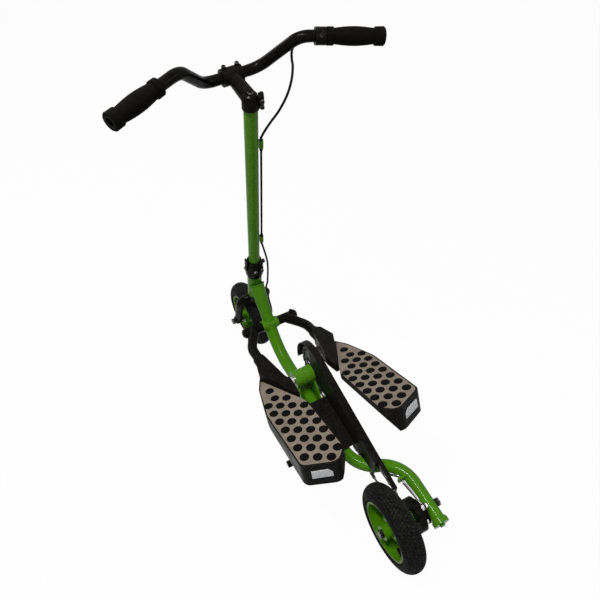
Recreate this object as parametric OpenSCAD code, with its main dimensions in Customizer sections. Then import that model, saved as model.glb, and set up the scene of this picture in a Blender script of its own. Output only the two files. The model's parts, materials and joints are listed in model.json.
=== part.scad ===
// Stepper bike: a small two-wheeler that is driven by two hinged foot platforms.
// It is drawn upright, x forward from the rear axle, y to its left and z up from the
// ground, and then leant to the left onto its side stand.

/* [Wheels] */
// Distance between the two axles
wheelbase = 757; // [720:1:800]
// Outside diameter of a tyre
wheel_d = 203; // [196:1:215]
// Width of a tyre
tyre_w = 52; // [44:1:53]
// Diameter of the rim at its flange
rim_d = 138; // [130:1:140]
// Diameter of the wheel axles
axle_d = 12; // [10:0.5:13]
// Outside diameter of a hub
hub_d = 34; // [28:1:38]

/* [Frame] */
// Diameter of the main tube
main_tube_d = 33; // [28:0.5:36]
// Diameter of the rear arm
arm_tube_d = 30; // [26:0.5:33]
// Height of the low run of the frame
low_run_z = 118; // [114:1:126]
// Distance of the rear arm from the middle of the bike
arm_y = 99; // [94:1:108]
// Diameter of the head tube
head_tube_d = 39; // [36:0.5:42]
// Length of the head tube
head_tube_len = 86; // [80:1:92]

/* [Steering] */
// Angle of the steering axis above the ground
head_angle = 76.8; // [74:0.1:79]
// Distance of the front axle before the steering axis
fork_offset = 30.5; // [24:0.5:36]
// Turn of the steering to the left as it is parked
steer_rest = 4; // [0:0.5:8]
// Diameter of the column
column_d = 28.6; // [25:0.1:31]
// Top of the column, along the steering axis from the axle
column_top = 798; // [760:1:820]
// Diameter of the handlebar
bar_d = 22.2; // [20:0.1:24]
// Reach of the stem before the steering axis
stem_reach = 75; // [62:1:85]
// Half width of the handlebar
bar_half = 270; // [250:1:290]
// Length of a grip
grip_len = 112; // [95:1:118]
// Diameter of a grip
grip_d = 31; // [29:0.5:34]

/* [Platforms] */
// Distance of the platform pivot from the rear axle
pivot_x = 605; // [595:1:615]
// Height of the platform pivot
pivot_z = 193; // [188:1:198]
// Rise of the left platform to the rear, in degrees
left_pitch = 14.5; // [12:0.5:17]
// Rise of the right platform to the rear, in degrees
right_pitch = 20.9; // [19:0.1:23]
// Depth of a platform at its rear end
platform_depth = 58; // [50:1:60]
// Thickness of the grip pad
pad_t = 2.5; // [1.5:0.1:3.5]
// Diameter of the grip dots
dot_d = 19.5; // [15:0.5:20]
// Spacing of the grip dots along the platform
dot_pitch = 31.5; // [29:0.5:33]

/* [Drive] */
// Distance of the crank axle from the rear axle
crank_x = 404; // [398:1:410]
// Height of the crank axle
crank_z = 185; // [182:1:188]
// Length of a crank, from axle to roller pin
crank_r = 42; // [38:1:43]
// Diameter of the crank rollers
roller_d = 26; // [22:1:27]
// Diameter of the crank shell
shell_d = 44; // [40:1:46]
// Diameter of the crank axle
crank_axle_d = 16; // [14:0.5:18]
// Distance of the chain from the middle of the bike
chain_y = 34; // [33.6:0.1:34.6]
// Links on the chain
chain_links = 88; // [86:1:90]

/* [Stand] */
// Lean of the parked bike to its left, in degrees
lean = 4.5; // [3.5:0.1:5.5]
// Distance of the stand's pivot from the rear axle
stand_x = 262; // [250:1:275]
// Diameter of the stand's rod
stand_d = 11; // [9:0.5:12]

/* [Hidden] */
$fn = 64;
fit = 0.05;
seat = 0.3;
lap = 0.5;
lap_step = 0.4;
run_gap = 5;
sheet_t = 2;

// Wheels
wheel_r = wheel_d / 2;
tyre_r = tyre_w / 2;
tyre_ring = wheel_r - tyre_r;
bead_r = rim_d / 2 - 3;
bead_half = 20;
rim_edge = bead_half + seat + sheet_t;
hub_half = 27;
nut_d = 20;
nut_t = 8;
valve_r = 36;
valve_angle = 163;
valve_hole_d = 14;

// Steering
steer_x = wheelbase - fork_offset * sin(head_angle);
steer_z = wheel_r - fork_offset * cos(head_angle);
steerer_d = 25.4;
crown_bottom = wheel_r + 26.5;
crown_t = 18;
cup_t = 6;
head_bottom = crown_bottom + crown_t + seat + cup_t;
head_top = head_bottom + head_tube_len;
collar_bottom = head_top + cup_t + seat;
collar_top = 300;
collar_r = 23;
collar_bolt_z = collar_top - 22;
collar_bolt_y = 8.5;
column_bottom = collar_top - 34;
leg_d = 22;
dropout_t = 16;
leg_y = tyre_r + run_gap + 1 + leg_d / 2;
stem_bottom = column_top - 33;
stem_top = column_top - 2;
stem_wall = 3;
column_end = stem_top - 18;
clamp_z = column_top - 10;
clamp_w = 42;

// Handlebar corners, from its middle to its left end: forward, left, up
bar_bend = 45;
bar_flat = 59;
bar_rise = 73;
bar_sweep = 149;
grip_fall = 6;
bar_points = [[stem_reach, 0, clamp_z], [stem_reach, bar_flat, clamp_z],
    [28, bar_half - bar_sweep, clamp_z + bar_rise], [-36, bar_half, clamp_z + bar_rise - grip_fall]];
bar_path = concat([for (i = [3:-1:1]) flip(bar_points[i])], [for (i = [1:3]) bar_points[i]]);
bar_bore = 18;
bar_end_dir = unit(bar_points[3] - bar_points[2]);
bar_bore_len = 60;
lever_seat = grip_len + 12;
lever_drop = 34;
lever_boss_d = 16;
lever_ahead = unit(cross(bar_end_dir, [0, 0, 1])) * cos(lever_drop) - [0, 0, sin(lever_drop)];
lever_base = bar_points[3] - bar_end_dir * lever_seat;
lever_pivot = lever_base + lever_ahead * 26;

// Frame
join_s = head_top - 35;
join_back = 12;
head_join = [steer_x - join_s * cos(head_angle) - join_back * sin(head_angle), 0,
    steer_z + join_s * sin(head_angle) - join_back * cos(head_angle)];
main_lead = 3;
flare_d = 40;
flare_len = 80;
main_slope = atan((head_join[2] - pivot_z) / (head_join[0] - pivot_x - main_lead));
main_corner_x = head_join[0] - (head_join[2] - low_run_z) / tan(main_slope);
main_bend = 125;
arm_bend = 80;
arm_corner_x = 153;
arm_turn_x = 108;
arm_tail = 30;
arm_drop = (low_run_z - wheel_r) / arm_turn_x;
split_x = 346;
main_points = [head_join, [main_corner_x, 0, low_run_z], [split_x, 0, low_run_z]];
arm_points = [[split_x, 0, low_run_z], [arm_corner_x, 0, low_run_z], [arm_turn_x, -arm_y, low_run_z],
    [-arm_tail, -arm_y, low_run_z - arm_drop * (arm_turn_x + arm_tail)]];
arm_end_dir = unit(arm_points[3] - arm_points[2]);
cap_d = 38;

// Crank shell and its cheeks, left end to right end
shell_left = 29;
shell_right = -22;
cheek_t = 5;

// Platforms, from the pivot: u to the rear, v outwards, d up from the pivot's axis
pivot_shaft_d = 16;
sleeve_d = 26;
boss_d = 30;
boss_end = 23;
sleeve_in = boss_end + seat;
sleeve_out = 72;
flange_d = 34;
flange_t = 5;
top_d = -31;
inner_v = 45;
outer_v = 147;
rear_u = 516;
rim_inset = 3;
wall = 3;
pocket_u = 288;
track_front = 140;
track_end_gap = 12;
inner_depth = 12;
undercut_w = 30;
pocket_v = 80;
track_d = -47.8;
track_t = 6;
track_in = 53;
track_out = 70;
housing_rise = 31;
housing_fall = 24;
housing_front = 122;
housing_rear = 286;
front_depth = 16;
dot_rise = 1;
dot_gap = 0.3;
arm_rod_d = 26;
arm_flare_d = 31;
arm_flare_len = 45;
socket_d = arm_rod_d + 6;
arm_path = [[0, 50, 0], [-62, 82, -13], [-150, 82, -20]];
arm_socket = [[-100, 82, -16.02], arm_path[2]];
reflector_w = 44;
reflector_h = 20;
reflector_t = 2;
reflector_drop = 14;
reflector_cut = 9;

// Drive
chain_pitch = 12.7;
chain_half = 3;
sprocket_teeth = 16;
ring_teeth = 32;
sprocket_r = chain_pitch / (2 * sin(180 / sprocket_teeth));
ring_r = chain_pitch / (2 * sin(180 / ring_teeth));
link_high = 4.2;
link_waist = 3.2;
tooth_gap = 0.6;
tooth_h = 4;
ring_t = 2;
ring_window_d = 22;
ring_window_r = 37;
crank_angle = -3;
crank_t = 8;
crank_web = 16;
crank_end_d = 20;
left_crank_y = 38;
roller_pin_d = 9;
guard_gap = 6;
guard_wall = 1.6;
guard_strip = 3;
guard_side_gap = 1.4;
guard_rear = 48;
guard_low = low_run_z + arm_tube_d / 2 + seat;
guard_in = tyre_r + run_gap;
guard_out = chain_y + chain_half + guard_side_gap + guard_wall;
guard_left = seat + 0.2 - shell_right;
guard_open = wheel_r + 10;
tray_left = 24;
tray_t = 2.4;
tray_rear = [196, 138.5];
tray_front = [334, 163];
right_crank_y = guard_out + 3;
roller_in = 54;
roller_w = 12;
cover_d = 80;
cover_in = 49;
cover_out = 71;

// Brake cable, in the steering frame down to the collar and in the bike's frame from there
cable_d = 5;
guide_r = 19.6;
guide_angle = -115;
guide_len = 18;
guide_low = 373;
guide_high = 668;
guide_x = guide_r * cos(guide_angle);
guide_y = guide_r * sin(guide_angle);
cable_split = 307;
cable_start = flip(lever_pivot - bar_end_dir * (lever_boss_d / 2 + 4 * seat));
top_route = [cable_start, [42, -150, 845], [54, -132, 833], [46, -117, 824], [33, -109, 815],
    [19, -103, 809], [1, -90, 795], [-9, -75, 773], [-11, -57, 746], [-5, -41, 719], [-6, -26, 702],
    [guide_x, guide_y, 692], [guide_x, guide_y, 687], [guide_x, guide_y, 600], [guide_x, guide_y, 490],
    [guide_x, guide_y, 400], [guide_x, guide_y, 372], [guide_x, guide_y, 366], [-9, -22, 345],
    [-12, -29, cable_split + seat]];
head_route = [[-12, -29, cable_split - seat], [-14, -32, 280], [-16, -32, 246],
    [-16, -31, 200], [-15, -28, 172]];
run_z = low_run_z - main_tube_d / 2 - cable_d / 2 - 0.8;
frame_route = [[648, -22, 243], [632, -20, 212], [624, -9, 184], [614, -5, 165], [585, -4, 131],
    [541, -4, 106], [492, -4, run_z], [420, -4, run_z], [346, -4, run_z], [270, -4, run_z], [206, -3, run_z],
    [165, -11, 99.5], [138, -37, 99.5], [124, -58, 99.5], [112, -61, 102.5], [101, -64, 109],
    [92, -70, 115], [86, -74, 118]];
adjuster_d = 7;
adjuster_len = 18;
adjuster_gap = 2;
wire_d = 2.4;
wire_from = frame_route[len(frame_route) - 1];
wire_to = [-6, wire_from[1], 135];
brake_hub = [-26, 112];
brake_arm_t = 4;

// Stand
foot_x = stand_x + 29;
foot_y = 116;
foot_in = 84;
foot_d = 18;
foot_len = 20;
foot_grip = 13;
foot_z = foot_y * tan(lean) + foot_d / 2 / cos(lean) - tyre_r * (1 - cos(lean)) / cos(lean);
stand_pivot = [stand_x, 27, low_run_z - 16];
stand_tilt = atan2(stand_pivot[2] - foot_z, foot_in - stand_pivot[1]);
stand_bend = 20;
eye_d = 22;
eye_t = 9;
stud_d = 8;
stud_head_d = 14;
stud_head_t = 4;
lug_t = 6.5;

// Place of the parked bike: middle of its box, on the ground
front_reach = steer_x + fork_offset * cos(steer_rest) * sin(head_angle) + tyre_r
    + tyre_ring * sqrt(1 - pow(sin(steer_rest) * sin(head_angle), 2));
origin_x = (front_reach - wheel_r) / 2;
bar_height = steer_z + bar_points[3][2] * sin(head_angle);
grip_lag = 1.83;
origin_y = bar_height * sin(lean) - grip_lag;
ground_lift = tyre_r * (1 - cos(lean));

green = [0.30, 0.56, 0.08];
black = [0.09, 0.09, 0.09];
steel = [0.72, 0.72, 0.73];
taupe = [0.53, 0.47, 0.42];

function unit(v) = v / norm(v);
function flip(p) = [p[0], -p[1], p[2]];
function turn(a, b, c) = 180 - acos(unit(a - b) * unit(c - b));
function trim(points, i, r) = r * tan(turn(points[i - 1], points[i], points[i + 1]) / 2);
function start_trim(points, i, r) = i == 0 ? 0 : trim(points, i, r);
function end_trim(points, i, r) = i == len(points) - 2 ? 0 : trim(points, i + 1, r);

// Corners of an outline rounded to arcs: each corner is [x, y, radius]
function arc_points(a, b, c, steps) =
    let (p = [b[0], b[1]],
        u = unit([a[0], a[1]] - p),
        w = unit([c[0], c[1]] - p),
        half = acos(u * w) / 2,
        centre = p + unit(u + w) * b[2] / sin(half),
        first = p + u * b[2] / tan(half) - centre,
        last = p + w * b[2] / tan(half) - centre,
        a0 = atan2(first[1], first[0]),
        sweep = (atan2(last[1], last[0]) - a0 + 540) % 360 - 180)
    [for (k = [0:steps]) centre + b[2] * [cos(a0 + sweep * k / steps), sin(a0 + sweep * k / steps)]];
function rounded(c, steps = 6) =
    [for (i = [0:len(c) - 1])
        each arc_points(c[(i + len(c) - 1) % len(c)], c[i], c[(i + 1) % len(c)], steps)];

// Point of the steering frame, as it is parked, in the bike's frame
function from_steering(p) =
    let (x = p[0] * cos(steer_rest) - p[1] * sin(steer_rest),
        y = p[0] * sin(steer_rest) + p[1] * cos(steer_rest))
    [steer_x + x * sin(head_angle) - p[2] * cos(head_angle), y,
        steer_z + x * cos(head_angle) + p[2] * sin(head_angle)];

// Smooth curve through a row of points
function curve_point(a, b, c, d, k) =
    (2 * b + (c - a) * k + (2 * a - 5 * b + 4 * c - d) * k * k + (3 * b - a - 3 * c + d) * k * k * k) / 2;
function smooth(p, steps) =
    let (n = len(p) - 1)
    concat([for (i = [0:n - 1], k = [0:steps - 1])
        curve_point(p[max(i - 1, 0)], p[i], p[i + 1], p[min(i + 2, n)], k / steps)], [p[n]]);
function heading(p, i) = unit(p[min(i + 1, len(p) - 1)] - p[max(i - 1, 0)]);

module parked() {
    translate([-origin_x, -origin_y, ground_lift])
        rotate([-lean, 0, 0])
            children();
}

// Steering frame: x forward, y left, z along the steering axis from the axle's level
module steered() {
    parked()
        translate([steer_x, 0, steer_z])
            rotate([0, head_angle - 90, 0])
                rotate([0, 0, steer_rest])
                    children();
}

module at_rear_axle() {
    parked()
        translate([0, 0, wheel_r])
            children();
}

module at_front_axle() {
    steered()
        translate([fork_offset, 0, 0])
            children();
}

module at_crank() {
    parked()
        translate([crank_x, 0, crank_z])
            children();
}

// Platform frame: x to the front, y outwards and z up, from the middle of the pivot
module on_left_platform() {
    parked()
        translate([pivot_x, 0, pivot_z])
            rotate([0, left_pitch, 0])
                children();
}

module on_right_platform() {
    parked()
        translate([pivot_x, 0, pivot_z])
            rotate([0, right_pitch, 0])
                mirror([0, 1, 0])
                    children();
}

module aim(p, d) {
    translate(p)
        rotate([0, acos(d[2] / norm(d)), atan2(d[1], d[0])])
            children();
}

module rod(a, b, d) {
    aim(a, b - a)
        cylinder(d = d, h = norm(b - a));
}

// Lateral cylinder from y0 to y1 on the axis through x and z
module cross_rod(y0, y1, d) {
    translate([0, max(y0, y1), 0])
        rotate([90, 0, 0])
            cylinder(d = d, h = abs(y1 - y0));
}

module bend(a, b, c, r, d) {
    u = unit(a - b);
    w = unit(c - b);
    half = acos(u * w) / 2;
    centre = b + unit(u + w) * r / sin(half);
    x = unit(b + u * r / tan(half) - centre);
    z = unit(cross(u, w)) * -1;
    y = cross(z, x);
    multmatrix([[x[0], y[0], z[0], centre[0]], [x[1], y[1], z[1], centre[1]],
        [x[2], y[2], z[2], centre[2]], [0, 0, 0, 1]])
        rotate_extrude(angle = 180 - 2 * half)
            translate([r, 0])
                circle(d = d);
}

// Round bar along a row of corners, bent to one radius: each straight reaches a little into its bends
module bent_rod(points, r, d) {
    for (i = [0:len(points) - 2]) {
        dir = unit(points[i + 1] - points[i]);
        a = points[i] + dir * (i == 0 ? 0 : start_trim(points, i, r) - lap);
        b = points[i + 1] - dir * (i == len(points) - 2 ? 0 : end_trim(points, i, r) - lap);
        rod(a, b, d - lap_step);
    }
    for (i = [1:len(points) - 2])
        bend(points[i - 1], points[i], points[i + 1], r, d);
}

// Cord along a smooth route, as one swept skin that is closed at both ends
module cord(route, d) {
    sides = 10;
    path = smooth(route, 4);
    last = len(path) - 1;
    rings = [for (i = [0:last])
        let (t = heading(path, i), u = unit(cross(t, [0, 1, 0])), w = cross(t, u))
        for (k = [0:sides - 1]) path[i] + d / 2 * (u * cos(360 * k / sides) + w * sin(360 * k / sides))];
    skin = [for (i = [0:last - 1], k = [0:sides - 1])
        let (a = i * sides + k, b = i * sides + (k + 1) % sides)
        [a + sides, b + sides, b, a]];
    polyhedron(rings, concat(skin, [[for (k = [0:sides - 1]) k]],
        [[for (k = [sides - 1:-1:0]) last * sides + k]]));
}

// Wheels
module tyre() {
    side_r = max(tyre_ring, rim_d / 2 + 1);
    side_half = sqrt(pow(tyre_r, 2) - pow(side_r - tyre_ring, 2));
    rotate([90, 0, 0])
        rotate_extrude() {
            intersection() {
                translate([tyre_ring, 0])
                    circle(d = tyre_w);
                translate([side_r, -tyre_w])
                    square([tyre_w, 2 * tyre_w]);
            }
            polygon([[bead_r, -bead_half], [rim_d / 2 + 1, -bead_half], [side_r, -side_half],
                [side_r, side_half], [rim_d / 2 + 1, bead_half], [bead_r, bead_half]]);
        }
}

module rim(hub_left, hub_right) {
    seat_r = bead_r - seat;
    difference() {
        union() {
            rotate([90, 0, 0])
                rotate_extrude() {
                    translate([seat_r - sheet_t, -rim_edge])
                        square([sheet_t, 2 * rim_edge]);
                    for (side = [-rim_edge, rim_edge - sheet_t])
                        translate([seat_r - sheet_t, side])
                            square([rim_d / 2 - seat_r + sheet_t, sheet_t]);
                    polygon([[hub_d / 2 - 2, -9], [hub_d / 2 + 7, -8], [seat_r - 14, 4], [seat_r - 1, 5],
                        [seat_r - 1, 8], [seat_r - 15, 7], [hub_d / 2 + 6, -5], [hub_d / 2 - 2, -6]]);
                }
            cross_rod(hub_left, -hub_right, hub_d);
        }
        cross_rod(hub_left + 1, -hub_right - 1, axle_d + 2 * fit);
        rotate([0, valve_angle, 0])
            translate([valve_r, 0, 0])
                cross_rod(-hub_half, hub_half, valve_hole_d);
    }
}

module front_tyre() {
    color(black)
        at_front_axle()
            tyre();
}

module front_rim() {
    color(green)
        at_front_axle()
            rim(hub_half, hub_half);
}

module rear_tyre() {
    color(black)
        at_rear_axle()
            tyre();
}

module rear_rim() {
    color(green)
        at_rear_axle()
            rim(hub_half, cover_in - 1);
}

// Steering
module fork() {
    leg_path = [[4, 6, crown_bottom + crown_t / 3], [8, leg_y, crown_bottom - 2], [fork_offset, leg_y, 0]];
    shoulder_bend = 24;
    crown_d = 36;
    color(black)
        steered()
            difference() {
                union() {
                    for (side = [0, 1])
                        mirror([0, side, 0]) {
                            bent_rod(leg_path, shoulder_bend, leg_d);
                            translate([fork_offset, 0, 0])
                                cross_rod(leg_y - dropout_t / 2, leg_y + dropout_t / 2, leg_d + 4);
                        }
                    translate([0, 0, crown_bottom - 3])
                        cylinder(d = crown_d, h = crown_t + 3);
                    translate([0, 0, crown_bottom])
                        cylinder(d = steerer_d, h = column_bottom - 2 - crown_bottom);
                }
                translate([fork_offset, 0, 0])
                    cross_rod(-leg_y - leg_d, leg_y + leg_d, axle_d + 2 * seat);
            }
}

module front_axle() {
    half = leg_y + leg_d / 2 + seat;
    color(steel)
        at_front_axle() {
            cross_rod(-half - nut_t, half + nut_t, axle_d);
            for (side = [0, 1])
                mirror([0, side, 0]) {
                    translate([0, half + nut_t, 0])
                        rotate([90, 0, 0])
                            cylinder(d = nut_d, h = nut_t - seat, $fn = 6);
                    cross_rod(hub_half + seat, leg_y - leg_d / 2 - seat, nut_d);
                }
        }
}

module clamp_collar() {
    lever_w = 11;
    lever_t = 4;
    color(black)
        steered()
            difference() {
                union() {
                    rotate_extrude()
                        polygon([[0, collar_bottom], [head_tube_d / 2, collar_bottom],
                            [collar_r - 1.5, collar_bottom + 5], [collar_r, collar_bottom + 12],
                            [collar_r, collar_top - 14], [collar_r - 4, collar_top - 9],
                            [collar_r - 4, collar_top], [0, collar_top]]);
                    translate([-collar_r - 1, -14, collar_bolt_z - 9])
                        cube([collar_r - 8, 28, 18]);
                    translate([-lever_w / 2, collar_r - 2, collar_bolt_z - 14])
                        cube([lever_w, lever_t, collar_top - collar_bolt_z + 26]);
                    translate([0, 0, collar_bolt_z])
                        cross_rod(6 - collar_r, -collar_r - 3, lever_w);
                }
                translate([0, 0, collar_bottom - 1])
                    cylinder(d = steerer_d + 2 * seat, h = column_bottom - collar_bottom);
                translate([0, 0, column_bottom - 1])
                    cylinder(d = column_d + 2 * seat, h = collar_top - column_bottom + 2);
                translate([-collar_r - 2, -1.5, column_bottom])
                    cube([collar_r, 3, collar_top - column_bottom + 1]);
                for (y = [-collar_bolt_y, collar_bolt_y])
                    collar_bolt(y, 6, 6.6);
            }
}

// Screw from the back of the collar: shank and head
module collar_bolt(y, shank_d, reach) {
    translate([-collar_r - 1, y, collar_bolt_z])
        rotate([0, 90, 0])
            translate([0, 0, -1])
                cylinder(d = shank_d, h = reach + 1);
}

module clamp_bolts() {
    color(black)
        steered()
            for (y = [-collar_bolt_y, collar_bolt_y]) {
                collar_bolt(y, 5.4, 6);
                translate([-collar_r - 1 - seat, y, collar_bolt_z])
                    rotate([0, -90, 0])
                        cylinder(d = 9, h = 3);
            }
}

module column() {
    color(green)
        steered()
            difference() {
                translate([0, 0, column_bottom])
                    cylinder(d = column_d, h = column_end - column_bottom);
                translate([0, 0, column_bottom - 1])
                    cylinder(d = column_d - 2 * sheet_t, h = column_end - column_bottom + 2);
            }
}

module stem() {
    body_r = column_d / 2 + stem_wall;
    cap_r = body_r - 4;
    clamp_d = bar_d + 12;
    arm_root = [4, 0, column_top - 14];
    arm_reach = [stem_reach, 0, clamp_z] - arm_root;
    lug_h = 24;
    color(black)
        steered()
            difference() {
                union() {
                    rotate_extrude()
                        polygon([[0, stem_bottom], [body_r, stem_bottom], [body_r, stem_top - 14],
                            [cap_r + 1, stem_top - 7], [cap_r, stem_top - 2],
                            [cap_r - 3, stem_top], [0, stem_top]]);
                    aim(arm_root, arm_reach)
                        cylinder(d1 = 2 * body_r - 3, d2 = clamp_d - 7, h = norm(arm_reach));
                    translate([stem_reach, 0, clamp_z]) {
                        cross_rod(-clamp_w / 2, clamp_w / 2, clamp_d);
                        for (y = [-clamp_w / 3, clamp_w / 3])
                            translate([4, y, 0])
                                cylinder(d = 9, h = clamp_d / 2 + 3);
                    }
                    rotate([0, 0, guide_angle])
                        translate([body_r - 3, -8, stem_bottom + 3])
                            cube([11, 16, lug_h]);
                    for (z = [stem_bottom + 9, stem_bottom + 21])
                        rotate([0, 0, guide_angle])
                            translate([body_r + 4, 0, z])
                                cross_rod(-11, 11, 7);
                }
                translate([0, 0, stem_bottom - 1])
                    cylinder(d = column_d + 2 * seat, h = column_end - stem_bottom + 1 + seat);
                translate([stem_reach, 0, clamp_z])
                    cross_rod(-clamp_w, clamp_w, bar_d + 2 * seat);
                rotate([0, 0, guide_angle])
                    translate([0, -1, stem_bottom - 1])
                        cube([2 * body_r, 2, lug_h + 6]);
            }
}

module handlebar() {
    color(black)
        steered()
            difference() {
                bent_rod(bar_path, bar_bend, bar_d);
                for (side = [0, 1])
                    mirror([0, side, 0])
                        rod(bar_points[3] - bar_end_dir * bar_bore_len,
                            bar_points[3] + bar_end_dir, bar_bore);
            }
}

module grip() {
    r = grip_d / 2;
    bore = bar_d / 2 + seat;
    end_len = 20;
    collar_len = 14;
    belly_len = grip_len - end_len - collar_len;
    aim(bar_points[3], -bar_end_dir)
        rotate_extrude()
            polygon(concat([[bore, 0], [r, 0], [r + 1.8, 2], [r + 1.4, end_len - 2], [r - 1.4, end_len]],
                [for (k = [1:9]) [r - 1.4 + 3 * sin(18 * k), end_len + belly_len * k / 10]],
                [[r - 1.4, grip_len - collar_len], [r + 1, grip_len - collar_len + 1.5],
                    [r + 1, grip_len - 1], [r, grip_len], [bore, grip_len]]));
}

module left_grip() {
    color(black)
        steered()
            grip();
}

module right_grip() {
    color(black)
        steered()
            mirror([0, 1, 0])
                grip();
}

module brake_lever() {
    lever_tip = bar_points[3] - bar_end_dir * 28 + lever_ahead * 40;
    boss_axis = cross(bar_end_dir, lever_ahead);
    color(black)
        steered()
            mirror([0, 1, 0])
                difference() {
                    union() {
                        rod(lever_base - bar_end_dir * 10, lever_base + bar_end_dir * 10, bar_d + 10);
                        rod(lever_base, lever_pivot, 14);
                        rod(lever_pivot - boss_axis * 8, lever_pivot + boss_axis * 8, lever_boss_d);
                        rod(lever_pivot, lever_tip, 9);
                        translate(lever_tip)
                            sphere(d = 13);
                    }
                    rod(lever_base - bar_end_dir * 12, lever_base + bar_end_dir * 12, bar_d + 2 * seat);
                }
}

// Frame
module main_frame() {
    color(green)
        parked()
            difference() {
                union() {
                    bent_rod(main_points, main_bend, main_tube_d);
                    aim(head_join, main_points[1] - head_join)
                        cylinder(d1 = flare_d, d2 = main_tube_d + 0.2, h = flare_len);
                    translate([steer_x, 0, steer_z])
                        rotate([0, head_angle - 90, 0])
                            translate([0, 0, head_bottom])
                                cylinder(d = head_tube_d, h = head_tube_len);
                    translate([pivot_x, 0, pivot_z])
                        cross_rod(-boss_end, boss_end, boss_d);
                    translate([crank_x, 0, crank_z])
                        cross_rod(shell_left, shell_right, shell_d);
                    for (y = [shell_left, shell_right + cheek_t])
                        translate([0, y, 0])
                            rotate([90, 0, 0])
                                linear_extrude(height = cheek_t)
                                    polygon([[crank_x + 20, low_run_z], [crank_x + 18, crank_z],
                                        [crank_x - 18, crank_z - 10], [split_x + 4, low_run_z + 14],
                                        [split_x + 4, low_run_z - 6], [crank_x + 10, low_run_z - 6]]);
                    translate([split_x + 4, shell_right, low_run_z - 4])
                        cube([crank_x - split_x, shell_left - shell_right, 5]);
                }
                translate([steer_x, 0, steer_z])
                    rotate([0, head_angle - 90, 0])
                        translate([0, 0, head_bottom - 1])
                            cylinder(d = steerer_d + 8, h = head_tube_len + 2);
                translate([pivot_x, 0, pivot_z])
                    cross_rod(-boss_end - 1, boss_end + 1, pivot_shaft_d + 2 * seat);
                translate([crank_x, 0, crank_z])
                    cross_rod(shell_left + 1, shell_right - 1, crank_axle_d + 2 * fit);
            }
}

module headset_cups() {
    color(black)
        parked()
            translate([steer_x, 0, steer_z])
                rotate([0, head_angle - 90, 0])
                    for (z = [head_bottom - cup_t, head_top])
                        translate([0, 0, z])
                            difference() {
                                cylinder(d = head_tube_d + 1, h = cup_t);
                                translate([0, 0, -1])
                                    cylinder(d = steerer_d + 2 * fit, h = cup_t + 2);
                            }
}

module rear_arm() {
    color(green)
        parked()
            difference() {
                union() {
                    bent_rod(arm_points, arm_bend, arm_tube_d);
                    at_stand()
                        stand_lug();
                    translate([74, wire_from[1] - 14, low_run_z - 6])
                        cube([6, 22, 16]);
                }
                rod(wire_from, wire_to, adjuster_d + 2 * seat);
                translate([0, 0, wheel_r])
                    cross_rod(-arm_y - arm_tube_d, -arm_y + arm_tube_d, axle_d + 2 * seat);
            }
}

// Lug that carries the stand's eye on a headed stud
module stand_lug() {
    reach = arm_tube_d;
    translate([0, 0, -eye_t / 2 - seat - lug_t]) {
        cylinder(d = eye_d + 2, h = lug_t);
        translate([-eye_d / 2, -reach, 0])
            cube([eye_d, reach, lug_t]);
        cylinder(d = stud_d, h = lug_t + eye_t + 2 * seat + stud_head_t);
    }
    translate([0, 0, eye_t / 2 + seat])
        cylinder(d = stud_head_d, h = stud_head_t);
}

module arm_cap() {
    end = arm_points[3];
    color(green)
        parked() {
            rod(end + arm_end_dir * seat, end + arm_end_dir * 6, arm_tube_d + 4);
            rod(end + arm_end_dir * 4, end + arm_end_dir * 14, cap_d);
            rod(end + arm_end_dir * 13, end + arm_end_dir * 19, 12);
        }
}

module rear_axle() {
    arm_out = arm_y + arm_tube_d / 2;
    arm_in = arm_y - arm_tube_d / 2;
    color(steel)
        at_rear_axle() {
            cross_rod(-arm_out - nut_t, hub_half + nut_t, axle_d);
            translate([0, hub_half + seat + nut_t, 0])
                rotate([90, 0, 0])
                    cylinder(d = nut_d, h = nut_t, $fn = 6);
            cross_rod(-cover_out - seat, -arm_in + 2, nut_d);
            translate([0, -arm_out - seat, 0])
                rotate([90, 0, 0])
                    cylinder(d = nut_d, h = nut_t, $fn = 6);
        }
}

// Guides that hold the brake cable along the column
module column_guides() {
    color(green)
        steered()
            for (z = [guide_low, guide_high])
                rotate([0, 0, guide_angle])
                    difference() {
                        translate([column_d / 2 + seat, -4.5, z])
                            cube([guide_r + 4.4 - column_d / 2 - seat, 9, guide_len]);
                        translate([guide_r, 0, z - 1])
                            cylinder(d = cable_d + 2 * seat, h = guide_len + 2);
                    }
}

module cable_top() {
    color(black)
        steered()
            cord(top_route, cable_d);
}

module cable_low() {
    color(black)
        parked()
            cord(concat([for (p = head_route) from_steering(p)], frame_route), cable_d);
}

module brake_wire() {
    along = unit(wire_to - wire_from);
    color(steel)
        parked() {
            rod(wire_from + along * adjuster_gap, wire_from + along * adjuster_len, adjuster_d);
            rod(wire_from + along * (adjuster_len - 1), wire_to - along * 8, wire_d);
        }
}

module brake_arm() {
    anchor = [wire_to[0], wire_to[2]];
    side = unit([anchor[1] - brake_hub[1], brake_hub[0] - anchor[0]]);
    color(black)
        parked() {
            translate([0, wire_to[1] + brake_arm_t / 2, 0])
                rotate([90, 0, 0])
                    linear_extrude(height = brake_arm_t) {
                        translate(brake_hub)
                            circle(d = 18);
                        translate(anchor)
                            circle(d = 14);
                        polygon([brake_hub + side * 8.5, anchor + side * 6.5,
                            anchor - side * 6.5, brake_hub - side * 8.5]);
                    }
            translate([brake_hub[0], 0, brake_hub[1]])
                cross_rod(-cover_out - seat, wire_to[1], 13);
        }
}

module brake_cover() {
    color(black)
        at_rear_axle()
            difference() {
                union() {
                    cross_rod(-cover_in, -cover_out + 6, cover_d);
                    cross_rod(-cover_in, -cover_out, cover_d - 16);
                }
                cross_rod(-cover_in + 1, -cover_out - 1, axle_d + 2 * seat);
            }
}

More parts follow.
